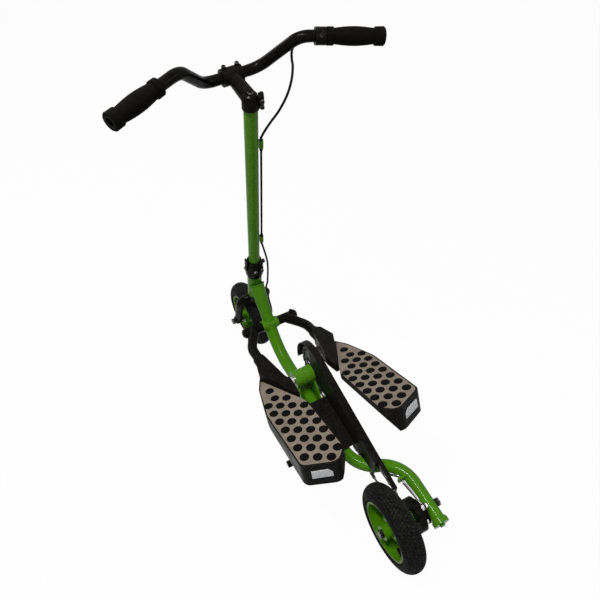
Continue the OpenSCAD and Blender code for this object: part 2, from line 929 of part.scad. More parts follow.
module rear_sprocket() {
    color(steel)
        at_rear_axle()
            translate([0, -chain_y + ring_t / 2, 0])
                rotate([90, 0, 0])
                    difference() {
                        linear_extrude(height = ring_t)
                            tooth_wheel(sprocket_teeth, sprocket_r);
                        translate([0, 0, -1])
                            cylinder(d = hub_d + 2 * fit, h = ring_t + 2);
                    }
}

// Toothed outline that stays clear of the chain's rollers
module tooth_wheel(teeth, pitch_r) {
    tip = pitch_r - link_high - tooth_gap;
    root = tip - tooth_h;
    step = 360 / teeth;
    polygon([for (i = [0:teeth - 1], k = [[0, root], [0.3, root], [0.45, tip], [0.55, tip], [0.7, root]])
        k[1] * [cos((i + k[0]) * step), sin((i + k[0]) * step)]]);
}

// Platforms
function platform_outline(inset) = rounded([
    [-148 - inset, 99, 7],
    [-205 - inset, 126 - inset, 90],
    [-300, outer_v - inset, 120],
    [-484 + inset, outer_v - inset, 18],
    [-rear_u + inset, 74, 25],
    [-486 + inset / 2, inner_v + inset, 38],
    [-318, inner_v + inset, 40],
    [-262, 66 + inset, 60]]);

function pad_outline(inset) = rounded([
    [-172 - inset, 109, 4],
    [-212, 128 - inset, 90],
    [-300, outer_v - inset, 120],
    [-482 + inset, outer_v - inset, 16],
    [-rear_u + 2 + inset, 75, 22],
    [-484 + inset / 2, inner_v + inset, 35],
    [-308, inner_v + inset, 25]]);

dot_columns = [[1.5, 7], [0, 9], [1.5, 8], [3, 6]];
dot_first_u = 226;
dot_first_v = 129;
dot_side = 23.5;

module dots(d, h) {
    for (c = [0:len(dot_columns) - 1], i = [0:dot_columns[c][1] - 1])
        translate([-dot_first_u - dot_pitch * (dot_columns[c][0] + i), dot_first_v - dot_side * c, 0])
            cylinder(d = d, h = h, $fn = 24);
}

// Wedge over the end of the arm: its top falls to the rear
module housing() {
    fall = atan(housing_fall / (housing_rear - housing_front));
    difference() {
        translate([0, 0, top_d - front_depth + 2])
            linear_extrude(height = front_depth - 2 + housing_rise)
                polygon(rounded([[-housing_front, 96, 8], [2 - housing_front, 71, 8], [-215, 56, 14],
                    [-236, 48, 6], [-housing_rear, 50, 6], [-274, 62, 6], [-172, 108, 8]]));
        translate([-housing_front, 0, top_d + housing_rise])
            rotate([0, -fall, 0])
                translate([-rear_u, 0, 0])
                    cube([2 * rear_u, 2 * outer_v, rear_u]);
    }
}

module platform() {
    slope = atan((platform_depth - front_depth) / (rear_u - 148));
    difference() {
        union() {
            translate([0, 0, top_d - platform_depth - 10])
                linear_extrude(height = platform_depth + 10)
                    polygon(platform_outline(0));
            housing();
            rod(arm_socket[0] + [-10, 0, 0], arm_socket[1] + [-12, 0, -1], socket_d);
        }
        translate([-148, 0, top_d - front_depth])
            rotate([0, -slope, 0])
                translate([-rear_u, -10, -100])
                    cube([2 * rear_u, 300, 100]);
        translate([-pocket_u, 0, track_d + track_t - 100])
            cube([pocket_u, pocket_v, 100]);
        translate([0, 0, top_d - pad_t])
            linear_extrude(height = pad_t + 1)
                polygon(pad_outline(rim_inset));
        translate([0, 0, top_d - platform_depth - 11])
            linear_extrude(height = platform_depth + 11 - pad_t - wall)
                polygon(rounded([[-310, outer_v - 4, 20], [-480, outer_v - 4, 14], [-rear_u + 5, 75, 20],
                    [-483, inner_v + 4, 30], [-330, inner_v + 4, 10], [-296, 84, 10]]));
        translate([-rear_u - 10, 0, 0])
            rotate([90, 0, 90])
                linear_extrude(height = rear_u + 10 - pocket_u)
                    polygon([[inner_v - 10, top_d - inner_depth], [inner_v, top_d - inner_depth],
                        [inner_v + undercut_w, top_d - platform_depth - 5],
                        [inner_v - 10, top_d - platform_depth - 5]]);
        rod(arm_socket[0], arm_socket[1] + unit(arm_socket[1] - arm_socket[0]) * seat, arm_rod_d + 2 * seat);
    }
    translate([0, 0, top_d - pad_t - 1])
        dots(dot_d, pad_t + 1 + dot_rise);
}

module pad() {
    difference() {
        translate([0, 0, top_d - pad_t + seat])
            linear_extrude(height = pad_t - seat)
                polygon(pad_outline(rim_inset + seat));
        translate([0, 0, top_d - pad_t - 1])
            dots(dot_d + 2 * dot_gap, pad_t + 2);
    }
}

module pedal_arm() {
    difference() {
        union() {
            cross_rod(sleeve_in, sleeve_out, sleeve_d);
            cross_rod(sleeve_out - flange_t, sleeve_out, flange_d);
            bent_rod(arm_path, 60, arm_rod_d);
            aim(arm_path[0], arm_path[1] - arm_path[0])
                cylinder(d1 = arm_flare_d, d2 = arm_rod_d - 0.2, h = arm_flare_len);
        }
        cross_rod(sleeve_in - 1, sleeve_out + 1, pivot_shaft_d + 2 * fit);
        cross_rod(sleeve_out, sleeve_out + run_gap + 3, sleeve_d + 2);
    }
}

module track() {
    translate([track_end_gap - pocket_u, track_in, track_d])
        cube([pocket_u - track_end_gap - track_front, track_out - track_in, track_t - seat]);
}

// Plate on the slanted rear face, between the outer corner and the rear tip
module reflector() {
    outer = [-484, outer_v];
    tip = [-rear_u, 74];
    mid = (outer + tip) / 2;
    translate([mid[0], mid[1], top_d - reflector_drop])
        rotate(atan2(tip[1] - outer[1], tip[0] - outer[0]))
            translate([-reflector_w / 2, -seat, -reflector_h])
                rotate([90, 0, 0])
                    linear_extrude(height = reflector_t)
                        polygon([[0, 0], [reflector_w, 0], [reflector_w, reflector_h - reflector_cut],
                            [reflector_w - reflector_cut, reflector_h], [0, reflector_h]]);
}

module left_arm() {
    color(black)
        on_left_platform()
            pedal_arm();
}

module left_platform() {
    color(black)
        on_left_platform()
            platform();
}

module left_pad() {
    color(taupe)
        on_left_platform()
            pad();
}

module left_track() {
    color(steel)
        on_left_platform()
            track();
}

module left_reflector() {
    color(steel)
        on_left_platform()
            reflector();
}

module right_arm() {
    color(black)
        on_right_platform()
            pedal_arm();
}

module right_platform() {
    color(black)
        on_right_platform()
            platform();
}

module right_pad() {
    color(taupe)
        on_right_platform()
            pad();
}

module right_track() {
    color(steel)
        on_right_platform()
            track();
}

module right_reflector() {
    color(steel)
        on_right_platform()
            reflector();
}

module pivot_shaft() {
    color(steel)
        parked()
            translate([pivot_x, 0, pivot_z]) {
                cross_rod(-sleeve_out - 4, sleeve_out + 4, pivot_shaft_d);
                for (side = [0, 1])
                    mirror([0, side, 0])
                        cross_rod(sleeve_out + seat, sleeve_out + 6, sleeve_d);
            }
}

// Drive
function path_point(i, n) =
    let (dx = crank_x,
        dz = crank_z - wheel_r,
        span = norm([dx, dz]),
        tilt = atan2(dz, dx),
        open = asin((ring_r - sprocket_r) / span),
        run = span * cos(open),
        front = ring_r * (180 + 2 * open) * PI / 180,
        back = sprocket_r * (180 - 2 * open) * PI / 180,
        total = 2 * run + front + back,
        s = i * total / n,
        up = 90 + tilt + open,
        down = tilt - open - 90,
        from = [sprocket_r * cos(up), wheel_r + sprocket_r * sin(up)],
        along = [cos(tilt + open), sin(tilt + open)],
        low = [crank_x + ring_r * cos(down), crank_z + ring_r * sin(down)],
        return = [-cos(tilt - open), -sin(tilt - open)])
    s < run ? concat(from + along * s, tilt + open)
    : s < run + front ? let (a = up - (s - run) / ring_r * 180 / PI)
        [crank_x + ring_r * cos(a), crank_z + ring_r * sin(a), a - 90]
    : s < 2 * run + front ? concat(low + return * (s - run - front), tilt - open + 180)
    : let (a = down - (s - 2 * run - front) / sprocket_r * 180 / PI)
        [sprocket_r * cos(a), wheel_r + sprocket_r * sin(a), a - 90];

function offset_point(p, h) = [p[0] - h * sin(p[2]), p[1] + h * cos(p[2])];

module chain() {
    n = 2 * chain_links;
    edge = [for (i = [0:n - 1]) path_point(i, n)];
    outer = [for (i = [0:n - 1]) offset_point(edge[i], i % 2 == 0 ? link_high : link_waist)];
    inner = [for (i = [0:n - 1]) offset_point(edge[i], i % 2 == 0 ? -link_high : -link_waist)];
    color(steel)
        parked()
            translate([0, -chain_y, 0])
                rotate([90, 0, 0]) {
                    translate([0, 0, -chain_half / 2])
                        linear_extrude(height = chain_half)
                            difference() {
                                polygon(outer);
                                polygon(inner);
                            }
                    for (k = [0:2:chain_links - 1])
                        translate([0, 0, -chain_half])
                            linear_extrude(height = 2 * chain_half)
                                polygon([outer[2 * k], outer[2 * k + 1], outer[(2 * k + 2) % n],
                                    inner[(2 * k + 2) % n], inner[2 * k + 1], inner[2 * k]]);
                }
}

module chain_guard() {
    front_r = ring_r + guard_gap + 10;
    rear_r = sprocket_r + guard_gap + 6;
    color(black)
        parked()
            difference() {
                union() {
                    guard_slab(guard_in, guard_out)
                        guard_side(front_r, rear_r);
                    guard_slab(-tray_left, guard_left + guard_wall / 2)
                        polygon([tray_rear, tray_front, tray_front + [0, tray_t], tray_rear + [0, tray_t]]);
                    guard_slab(guard_left, guard_in + lap)
                        intersection() {
                            guard_side(front_r, rear_r);
                            translate([guard_open, 0])
                                square(2 * wheelbase);
                        }
                }
                guard_slab(guard_left + guard_wall, guard_out - guard_wall)
                    guard_inside(front_r - guard_strip, rear_r - guard_strip);
                guard_slab(guard_left - 1, guard_in)
                    intersection() {
                        guard_inside(front_r - guard_strip, rear_r - guard_strip);
                        translate([crank_x + 8, 0])
                            square(wheelbase);
                    }
                translate([crank_x, 0, crank_z])
                    cross_rod(1 - guard_left, -guard_out - 1, crank_axle_d + 12);
            }
}

// Upright slab of an outline, between two distances to the right of the bike's middle
module guard_slab(near, far) {
    translate([0, -near, 0])
        rotate([90, 0, 0])
            linear_extrude(height = far - near)
                children();
}

// Upper half of the guard's outline, from before the chainring to the rear wheel
module guard_side(front_r, rear_r) {
    intersection() {
        union() {
            translate([crank_x, crank_z])
                circle(r = front_r);
            polygon(guard_run(front_r, rear_r));
        }
        polygon([[crank_x + front_r + 5, crank_z - 14], [crank_x + 30, crank_z - 20],
            [crank_x - 70, crank_z - 22], [arm_turn_x + 60, guard_low], [guard_rear, guard_low],
            [guard_rear, crank_z + 200],
            [crank_x + front_r + 5, crank_z + 200]]);
    }
}

module guard_inside(front_r, rear_r) {
    translate([crank_x, crank_z])
        circle(r = front_r);
    polygon(guard_run(front_r, rear_r));
}

function guard_run(front_r, rear_r) =
    let (tilt = atan2(crank_z - wheel_r, crank_x),
        span = norm([crank_x, crank_z - wheel_r]),
        open = asin((front_r - rear_r) / span))
    [[crank_x + front_r * cos(90 + tilt + open), crank_z + front_r * sin(90 + tilt + open)],
        [rear_r * cos(90 + tilt + open), wheel_r + rear_r * sin(90 + tilt + open)],
        [rear_r * cos(tilt - open - 90), wheel_r + rear_r * sin(tilt - open - 90)],
        [crank_x + front_r * cos(tilt - open - 90), crank_z + front_r * sin(tilt - open - 90)]];

module crank_axle() {
    color(steel)
        at_crank() {
            cross_rod(left_crank_y + crank_t, -right_crank_y - crank_t - 1, crank_axle_d);
            cross_rod(shell_left + 0.5, left_crank_y - 1, crank_axle_d + 8);
        }
}

module chainring() {
    color(steel)
        at_crank()
            translate([0, -chain_y + ring_t / 2, 0])
                rotate([90, 0, 0])
                    difference() {
                        linear_extrude(height = ring_t)
                            tooth_wheel(ring_teeth, ring_r);
                        translate([0, 0, -1])
                            cylinder(d = crank_axle_d + 2 * seat, h = ring_t + 2);
                        for (a = [0:72:359])
                            rotate(a)
                                translate([ring_window_r, 0, -1])
                                    cylinder(d = ring_window_d, h = ring_t + 2);
                    }
}

// Crank with the pin of its roller, from the inner face outwards
module crank(inner_y) {
    difference() {
        union() {
            cross_rod(inner_y, inner_y + crank_t, crank_axle_d + 12);
            translate([crank_r, 0, 0])
                cross_rod(inner_y, inner_y + crank_t, crank_end_d);
            translate([0, inner_y, -crank_web / 2])
                cube([crank_r, crank_t, crank_web]);
        }
        cross_rod(inner_y - 1, inner_y + crank_t + 1, crank_axle_d + 2 * seat);
    }
    translate([crank_r, 0, 0])
        cross_rod(inner_y + crank_t / 2, roller_in + roller_w + 2, roller_pin_d);
}

module left_crank() {
    color(black)
        at_crank()
            rotate([0, -crank_angle - 180, 0])
                crank(left_crank_y);
}

module right_crank() {
    color(black)
        at_crank()
            rotate([0, -crank_angle, 0])
                mirror([0, 1, 0])
                    crank(right_crank_y);
}

module rollers() {
    color(black)
        at_crank()
            rotate([0, -crank_angle, 0])
                for (side = [-1, 1])
                    translate([-side * crank_r, 0, 0])
                        difference() {
                            cross_rod(side * roller_in, side * (roller_in + roller_w), roller_d);
                            cross_rod(side * (roller_in - 1), side * (roller_in + roller_w + 1),
                                roller_pin_d + 2 * seat);
                        }
}

// Stand frame: z along the axis that the stand folds about, from the middle of its eye
module at_stand() {
    translate(stand_pivot)
        rotate([-stand_tilt, 0, 0])
            children();
}

module side_stand() {
    corner = [foot_x, foot_in, foot_z];
    end = [foot_x, foot_y - foot_len + foot_grip, foot_z];
    color(black)
        parked()
            difference() {
                union() {
                    bent_rod([stand_pivot, corner, end], stand_bend, stand_d);
                    at_stand()
                        translate([0, 0, -eye_t / 2])
                            cylinder(d = eye_d, h = eye_t);
                }
                at_stand() {
                    translate([0, 0, -eye_t])
                        cylinder(d = stud_d + 2 * fit, h = 2 * eye_t);
                    for (z = [-eye_t - eye_t / 2, eye_t / 2])
                        translate([0, 0, z])
                            cylinder(d = eye_d + 4, h = eye_t);
                }
            }
}

// Rubber foot that is pushed over the end of the rod
module stand_tip() {
    color(black)
        parked()
            translate([foot_x, 0, foot_z])
                difference() {
                    cross_rod(foot_y - foot_len, foot_y, foot_d);
                    cross_rod(foot_y - foot_len - 1, foot_y - foot_len + foot_grip + seat,
                        stand_d + 2 * seat);
                }
}

main_frame();
headset_cups();
rear_arm();
arm_cap();
rear_axle();
brake_cover();
brake_arm();
brake_wire();
rear_sprocket();
pivot_shaft();
chain();
chain_guard();
fork();
front_axle();
clamp_collar();
clamp_bolts();
column();
column_guides();
stem();
handlebar();
left_grip();
right_grip();
brake_lever();
cable_top();
cable_low();
front_tyre();
front_rim();
rear_tyre();
rear_rim();
left_arm();
left_platform();
left_pad();
left_track();
left_reflector();
right_arm();
right_platform();
right_pad();
right_track();
right_reflector();
crank_axle();
chainring();
left_crank();
right_crank();
rollers();
side_stand();
stand_tip();
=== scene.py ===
"""Studio scene of a stepper bike that is parked on its side stand.

Sizes are in millimetres, in one of the bike's own frames, and a piece is carried to the
shared frame, in metres, when its mesh is made.
"""

import json
import logging
import math
from collections.abc import Sequence
from dataclasses import dataclass
from enum import Enum

import bmesh
import bpy
from mathutils import Matrix, Vector
from mathutils.geometry import convex_hull_2d


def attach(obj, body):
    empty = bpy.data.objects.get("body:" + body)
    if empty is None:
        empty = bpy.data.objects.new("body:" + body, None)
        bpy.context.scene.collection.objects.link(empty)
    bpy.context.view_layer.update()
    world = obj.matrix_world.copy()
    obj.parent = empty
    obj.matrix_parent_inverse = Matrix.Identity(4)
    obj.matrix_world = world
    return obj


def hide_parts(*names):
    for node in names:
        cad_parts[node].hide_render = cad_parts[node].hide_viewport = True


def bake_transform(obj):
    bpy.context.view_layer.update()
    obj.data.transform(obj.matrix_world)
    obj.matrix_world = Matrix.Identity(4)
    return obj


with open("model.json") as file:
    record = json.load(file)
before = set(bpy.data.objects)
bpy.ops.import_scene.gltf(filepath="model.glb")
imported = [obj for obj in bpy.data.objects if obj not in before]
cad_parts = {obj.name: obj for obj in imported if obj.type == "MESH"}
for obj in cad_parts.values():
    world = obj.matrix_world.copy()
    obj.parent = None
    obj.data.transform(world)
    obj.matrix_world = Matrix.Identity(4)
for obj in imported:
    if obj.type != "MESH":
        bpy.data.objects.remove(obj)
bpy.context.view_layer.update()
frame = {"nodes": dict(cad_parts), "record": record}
LOG = logging.getLogger("stepper_bike")
MM = 0.001  # metres in a millimetre
SIDES = (1, -1)  # left and right
SINK = 0.3  # depth of a screw head or a prism in its seat
CREASE = 38  # angle from which an edge is sharp, in degrees
LEFT, RIGHT = Vector((0, 1, 0)), Vector((0, -1, 0))
Pair = tuple[float, float]
Triple = tuple[float, float, float]
Color = Triple
Profile = Sequence[Pair]
Point = Vector | Triple


class Body(Enum):
    """Bodies that pieces ride on."""
    FRAME = "frame"
    STEERING = "steering"
    FRONT_WHEEL = "front_wheel"
    REAR_WHEEL = "rear_wheel"
    LEFT_STEP = "left_step"
    RIGHT_STEP = "right_step"
    CRANKS = "cranks"


class Slot(Enum):
    """Material slots of the record."""
    GREEN = "green_paint"
    BLACK = "black_paint"
    STEEL = "bright_steel"
    CHAIN = "chain_steel"
    TYRE = "tyre_rubber"
    GRIP = "grip_rubber"
    MOULDED = "moulded_black"
    PAD = "pad_rubber"
    REFLECTOR = "reflector_silver"


class Effect(Enum):
    """Surface effects that several finishes share, each one a shader node group."""
    MOTTLE = "mottle"
    GRAIN = "grain"
    # lighter convex edges: partly rubbed wear, partly painted edge highlight
    EDGE_WEAR_AND_SHEEN = "edge_wear_and_sheen"
    DUST = "dust"
    SCRATCH = "scratch"


@dataclass(frozen=True)
class Layout:
    """Driving sizes of the bike and the frames that pieces are placed in."""
    wheelbase: float = 757
    wheel_r: float = 101.5
    tyre_r: float = 26
    rim_r: float = 69
    head_angle: float = 76.8
    fork_offset: float = 30.5
    steer_rest: float = 4
    column_top: float = 798
    clamp_drop: float = 10
    stem_reach: float = 75
    bar_d: float = 22.2
    bar_half: float = 270
    bar_sweep: float = 149
    bar_rise: float = 73
    grip_fall: float = 6
    grip_len: float = 112
    grip_lag: float = 1.83
    low_run_z: float = 118
    main_tube_r: float = 16.5
    arm_tube_r: float = 15
    pivot_x: float = 605
    pivot_z: float = 193
    left_pitch: float = 14.5
    right_pitch: float = 20.9
    crank_x: float = 404
    crank_z: float = 185
    crank_r: float = 42
    lean: float = 4.5

    @property
    def steer_x(self) -> float:
        """Forward place of the steering axis at the axle's level."""
        return self.wheelbase - self.fork_offset * math.sin(math.radians(self.head_angle))

    @property
    def steer_z(self) -> float:
        """Height of the steering frame's origin."""
        return self.wheel_r - self.fork_offset * math.cos(math.radians(self.head_angle))

    @property
    def clamp_z(self) -> float:
        """Height of the bar clamp along the steering axis."""
        return self.column_top - self.clamp_drop

    def parked(self) -> Matrix:
        """Frame of the upright bike: x forward from the rear axle, y left, z up.

        Returns:
            The frame as a matrix to metres.
        """
        head, rest, lean = (math.radians(a) for a in (self.head_angle, self.steer_rest, self.lean))
        ring = self.wheel_r - self.tyre_r
        turned = math.sqrt(1 - (math.sin(rest) * math.sin(head)) ** 2)
        axle_x = self.steer_x + self.fork_offset * math.cos(rest) * math.sin(head)
        front = axle_x + self.tyre_r + ring * turned
        bar_height = self.steer_z + (self.clamp_z + self.bar_rise - self.grip_fall) * math.sin(head)
        back = Vector(((self.wheel_r - front) / 2, self.grip_lag - bar_height * math.sin(lean),
                       self.tyre_r * (1 - math.cos(lean))))
        return Matrix.Scale(MM, 4) @ Matrix.Translation(back) @ Matrix.Rotation(-lean, 4, "X")

    def steered(self) -> Matrix:
        """Frame of the steering: z along its axis from the axle's level, x forward.

        Returns:
            The frame as a matrix to metres.
        """
        tilt = Matrix.Rotation(math.radians(self.head_angle - 90), 4, "Y")
        turn = Matrix.Rotation(math.radians(self.steer_rest), 4, "Z")
        return self.parked() @ Matrix.Translation((self.steer_x, 0, self.steer_z)) @ tilt @ turn

    def front_axle(self) -> Matrix:
        """Frame of the front wheel, with y along its axle."""
        return self.steered() @ Matrix.Translation((self.fork_offset, 0, 0))

    def rear_axle(self) -> Matrix:
        """Frame of the rear wheel, with y along its axle."""
        return self.parked() @ Matrix.Translation((0, 0, self.wheel_r))

    def crank(self) -> Matrix:
        """Frame of the crank axle."""
        return self.parked() @ Matrix.Translation((self.crank_x, 0, self.crank_z))

    def platform(self, left: bool) -> Matrix:
        """Frame of a platform from the middle of its pivot, with y outwards.

        Args:
            left: True for the left platform.

        Returns:
            The frame as a matrix to metres.
        """
        pitch = math.radians(self.left_pitch if left else self.right_pitch)
        pivot = self.parked() @ Matrix.Translation((self.pivot_x, 0, self.pivot_z))
        place = pivot @ Matrix.Rotation(pitch, 4, "Y")
        return place if left else place @ Matrix.Scale(-1, 4, (0, 1, 0))


BIKE = Layout()


def aim(point: Point, direction: Point) -> Matrix:
    """Frame at a point with z along a direction.

    Args:
        point: Origin of the frame.
        direction: Direction of its z axis.

    Returns:
        The frame as a matrix.
    """
    spin = Vector(direction).to_track_quat("Z", "Y").to_matrix().to_4x4()
    return Matrix.Translation(point) @ spin


def turns(steps: int) -> list[float]:
    """Even angles round a full turn, in radians."""
    return [2 * math.pi * k / steps for k in range(steps)]


def smooth_path(points: list[Vector], steps: int) -> list[Vector]:
    """Smooth curve through a row of points.

    Args:
        points: The points that the curve passes.
        steps: Pieces of curve between two points.

    Returns:
        Points along the curve.
    """
    path: list[Vector] = []
    last = len(points) - 1
    for i in range(last):
        a, b, c, d = (points[max(i - 1, 0)], points[i], points[i + 1], points[min(i + 2, last)])
        for n in range(steps):
            k = n / steps
            path.append((2 * b + (c - a) * k + (2 * a - 5 * b + 4 * c - d) * k ** 2
                         + (3 * b - a - 3 * c + d) * k ** 3) / 2)
    return path + [points[last].copy()]


def hexagon(radius: float, angle: float) -> float:
    """Distance of a hexagon's edge from its middle, at an angle in radians."""
    sector = math.pi / 3
    return radius * math.cos(sector / 2) / math.cos((angle % sector) - sector / 2)


class EffectGroup:
    """One shader node group in the making."""

    def __init__(self, effect: Effect, output: str, **inputs: float) -> None:
        """Opens the group with named sockets.

        Args:
            effect: The effect that it holds.
            output: Name of its output socket.
            inputs: Names and first values of its input sockets.
        """
        self.tree = bpy.data.node_groups.new(effect.value, "ShaderNodeTree")
        sockets = self.tree.interface
        for name, value in inputs.items():
            made = sockets.new_socket(name=name, in_out="INPUT", socket_type="NodeSocketFloat")
            made.default_value = value
        sockets.new_socket(name=output, in_out="OUTPUT", socket_type="NodeSocketFloat")
        self.given = self.tree.nodes.new("NodeGroupInput").outputs
        self.result = self.tree.nodes.new("NodeGroupOutput").inputs[output]

    def node(self, kind: str, **sources: bpy.types.NodeSocket) -> bpy.types.Node:
        """Adds a node.

        Args:
            kind: Its type, without the words that all of them start with.
            sources: Names of its input sockets, and the sockets that feed them.

        Returns:
            The node.
        """
        made = self.tree.nodes.new(f"ShaderNode{kind}")
        for name, source in sources.items():
            self.tree.links.new(source, made.inputs[name])
        return made

    def noise(self, detail: float, stretch: Triple = (1, 1, 1)) -> bpy.types.NodeSocket:
        """Noise over the piece's own coordinates, at the group's scale.

        Args:
            detail: Octaves of the noise.
            stretch: Scale of the noise along each axis.

        Returns:
            The socket of the noise.
        """
        mapping = self.node("Mapping", Vector=self.node("TexCoord").outputs["Object"])
        mapping.inputs["Scale"].default_value = stretch
        made = self.node("TexNoise", Vector=mapping.outputs["Vector"], Scale=self.given["Scale"])
        made.inputs["Detail"].default_value = detail
        return made.outputs["Fac"]

    def span(self, value: bpy.types.NodeSocket, low: float, high: float) -> bpy.types.NodeSocket:
        """Value that goes from 0 to 1 between two limits.

        Args:
            value: Socket of the value.
            low: Limit where the result is 0.
            high: Limit where the result is 1.

        Returns:
            The socket of the result.
        """
        made = self.node("MapRange", Value=value)
        made.inputs["From Min"].default_value = low
        made.inputs["From Max"].default_value = high
        return made.outputs["Result"]

    def product(self, *values: bpy.types.NodeSocket) -> bpy.types.NodeSocket:
        """Product of several values.

        Args:
            values: Sockets of the values.

        Returns:
            The socket of the product.
        """
        total = values[0]
        for value in values[1:]:
            made = self.node("Math")
            made.operation = "MULTIPLY"
            self.tree.links.new(total, made.inputs[0])
            self.tree.links.new(value, made.inputs[1])
            total = made.outputs[0]
        return total

    def give(self, value: bpy.types.NodeSocket) -> bpy.types.NodeTree:
        """Puts a value out of the group and hands the group over."""
        self.tree.links.new(value, self.result)
        return self.tree


class EffectLibrary:
    """Shader node groups that the finishes share, each one built once."""

    def __init__(self) -> None:
        """Builds every group."""
        self.groups: dict[Effect, bpy.types.NodeTree] = {
            Effect.MOTTLE: self._mottle(),
            Effect.GRAIN: self._grain(),
            Effect.EDGE_WEAR_AND_SHEEN: self._edge_wear_and_sheen(),
            Effect.DUST: self._dust(),
            Effect.SCRATCH: self._scratch(),
        }

    @staticmethod
    def _mottle() -> bpy.types.NodeTree:
        """Soft patches: a mask from 0 to 1."""
        group = EffectGroup(Effect.MOTTLE, "Mask", Scale=60)
        return group.give(group.span(group.noise(detail=4), 0.36, 0.64))

    @staticmethod
    def _grain() -> bpy.types.NodeTree:
        """Fine moulded grain: a height."""
        group = EffectGroup(Effect.GRAIN, "Height", Scale=900)
        place = group.node("TexCoord").outputs["Object"]
        cells = group.node("TexVoronoi", Vector=place, Scale=group.given["Scale"])
        return group.give(group.product(group.noise(detail=3), cells.outputs["Distance"]))

    @staticmethod
    def _edge_wear_and_sheen() -> bpy.types.NodeTree:
        """Lighter convex edges, broken up by noise: a mask that paints both rubbed wear and an edge
        highlight.
        """
        group = EffectGroup(Effect.EDGE_WEAR_AND_SHEEN, "Mask", Scale=220, Amount=1)
        edge = group.span(group.node("NewGeometry").outputs["Pointiness"], 0.53, 0.64)
        broken = group.span(group.noise(detail=3), 0.4, 0.6)
        return group.give(group.product(edge, broken, group.given["Amount"]))

    @staticmethod
    def _dust() -> bpy.types.NodeTree:
        """Dust on what faces up: a mask."""
        group = EffectGroup(Effect.DUST, "Mask", Scale=90, Amount=0.1)
        facing = group.node("SeparateXYZ", Vector=group.node("NewGeometry").outputs["Normal"])
        upward = group.span(facing.outputs["Z"], 0.2, 1)
        patch = group.span(group.noise(detail=6), 0.42, 0.7)
        return group.give(group.product(upward, patch, group.given["Amount"]))

    @staticmethod
    def _scratch() -> bpy.types.NodeTree:
        """Thin rubbed lines along the bike: a mask."""
        group = EffectGroup(Effect.SCRATCH, "Mask", Scale=160, Amount=0.2)
        line = group.span(group.noise(detail=2, stretch=(0.12, 2.0, 1.0)), 0.66, 0.74)
        return group.give(group.product(line, group.given["Amount"]))


@dataclass(frozen=True)
class Finish:
    """One procedural finish: its colours, its gloss and its fine relief."""
    name: str
    color: Color
    shade: Color
    patch_scale: float = 45
    rough_low: float = 0.3
    rough_high: float = 0.45
    grain_scale: float = 900
    grain_depth: float = 0.05
    metallic: float = 0
    specular: float = 0.5
    coat: float = 0
    coat_rough: float = 0.08
    # Colour and strength of lighter convex edges: partly rubbed wear, partly painted edge highlight.
    wear_and_sheen: Color | None = None
    wear_and_sheen_amount: float = 0.5
    dust: float = 0
    scratch: float = 0
    edge_round: float = 0.5
    edge_samples: int = 4
    dust_color: Color = (0.32, 0.30, 0.27)

    def material(self, effects: EffectLibrary) -> bpy.types.Material:
        """Builds the finish as a node material.

        Args:
            effects: The shared node groups.

        Returns:
            The material.
        """
        made = bpy.data.materials.new(self.name)
        made.use_nodes = True
        tree = made.node_tree
        shader = tree.nodes["Principled BSDF"]
        shader.inputs["Metallic"].default_value = self.metallic
        shader.inputs["Specular IOR Level"].default_value = self.specular
        shader.inputs["Coat Weight"].default_value = self.coat
        shader.inputs["Coat Roughness"].default_value = self.coat_rough

        patches = self._place(tree, effects, Effect.MOTTLE, Scale=self.patch_scale)
        shown = self._mixed(tree, self.color, self.shade, patches)
        # Convex edges get a lighter colour: partly rubbed wear, partly painted edge highlight.
        if self.wear_and_sheen:
            edges = self._place(tree, effects, Effect.EDGE_WEAR_AND_SHEEN, Amount=self.wear_and_sheen_amount)
            shown = self._mixed(tree, shown, self.wear_and_sheen, edges)
        for effect, amount in ((Effect.SCRATCH, self.scratch), (Effect.DUST, self.dust)):
            if amount:
                film = self._place(tree, effects, effect, Amount=amount)
                shown = self._mixed(tree, shown, self.dust_color, film)
        tree.links.new(shown, shader.inputs["Base Color"])

        gloss = tree.nodes.new("ShaderNodeMapRange")
        gloss.inputs["To Min"].default_value = self.rough_low
        gloss.inputs["To Max"].default_value = self.rough_high
        tree.links.new(patches, gloss.inputs["Value"])
        tree.links.new(gloss.outputs["Result"], shader.inputs["Roughness"])

        grain = self._place(tree, effects, Effect.GRAIN, Scale=self.grain_scale)
        edge = tree.nodes.new("ShaderNodeBevel")
        edge.samples = self.edge_samples
        edge.inputs["Radius"].default_value = self.edge_round * MM
        bump = tree.nodes.new("ShaderNodeBump")
        bump.inputs["Strength"].default_value = 1
        bump.inputs["Distance"].default_value = self.grain_depth * MM
        tree.links.new(grain, bump.inputs["Height"])
        tree.links.new(edge.outputs["Normal"], bump.inputs["Normal"])
        tree.links.new(bump.outputs["Normal"], shader.inputs["Normal"])
        return made

    @staticmethod
    def _place(tree: bpy.types.NodeTree, effects: EffectLibrary, effect: Effect,
               **values: float) -> bpy.types.NodeSocket:
        """Places a shared group with its own values.

        Args:
            tree: The material's tree.
            effects: The shared node groups.
            effect: The group that is placed.
            values: Values of its input sockets.

        Returns:
            The socket that the group puts out.
        """
        node = tree.nodes.new("ShaderNodeGroup")
        node.node_tree = effects.groups[effect]
        for name, value in values.items():
            node.inputs[name].default_value = value
        return node.outputs[0]

    @staticmethod
    def _mixed(tree: bpy.types.NodeTree, first: Color | bpy.types.NodeSocket, second: Color,
               mask: bpy.types.NodeSocket) -> bpy.types.NodeSocket:
        """Mixes two colours by a mask.

        Args:
            tree: The material's tree.
            first: Colour, or the socket of one, where the mask is 0.
            second: Colour where the mask is 1.
            mask: Socket of the mask.

        Returns:
            The socket of the mixed colour.
        """
        node = tree.nodes.new("ShaderNodeMix")
        node.data_type = "RGBA"
        if isinstance(first, tuple):
            node.inputs["A"].default_value = (*first, 1)
        else:
            tree.links.new(first, node.inputs["A"])
        node.inputs["B"].default_value = (*second, 1)
        tree.links.new(mask, node.inputs["Factor"])
        return node.outputs["Result"]
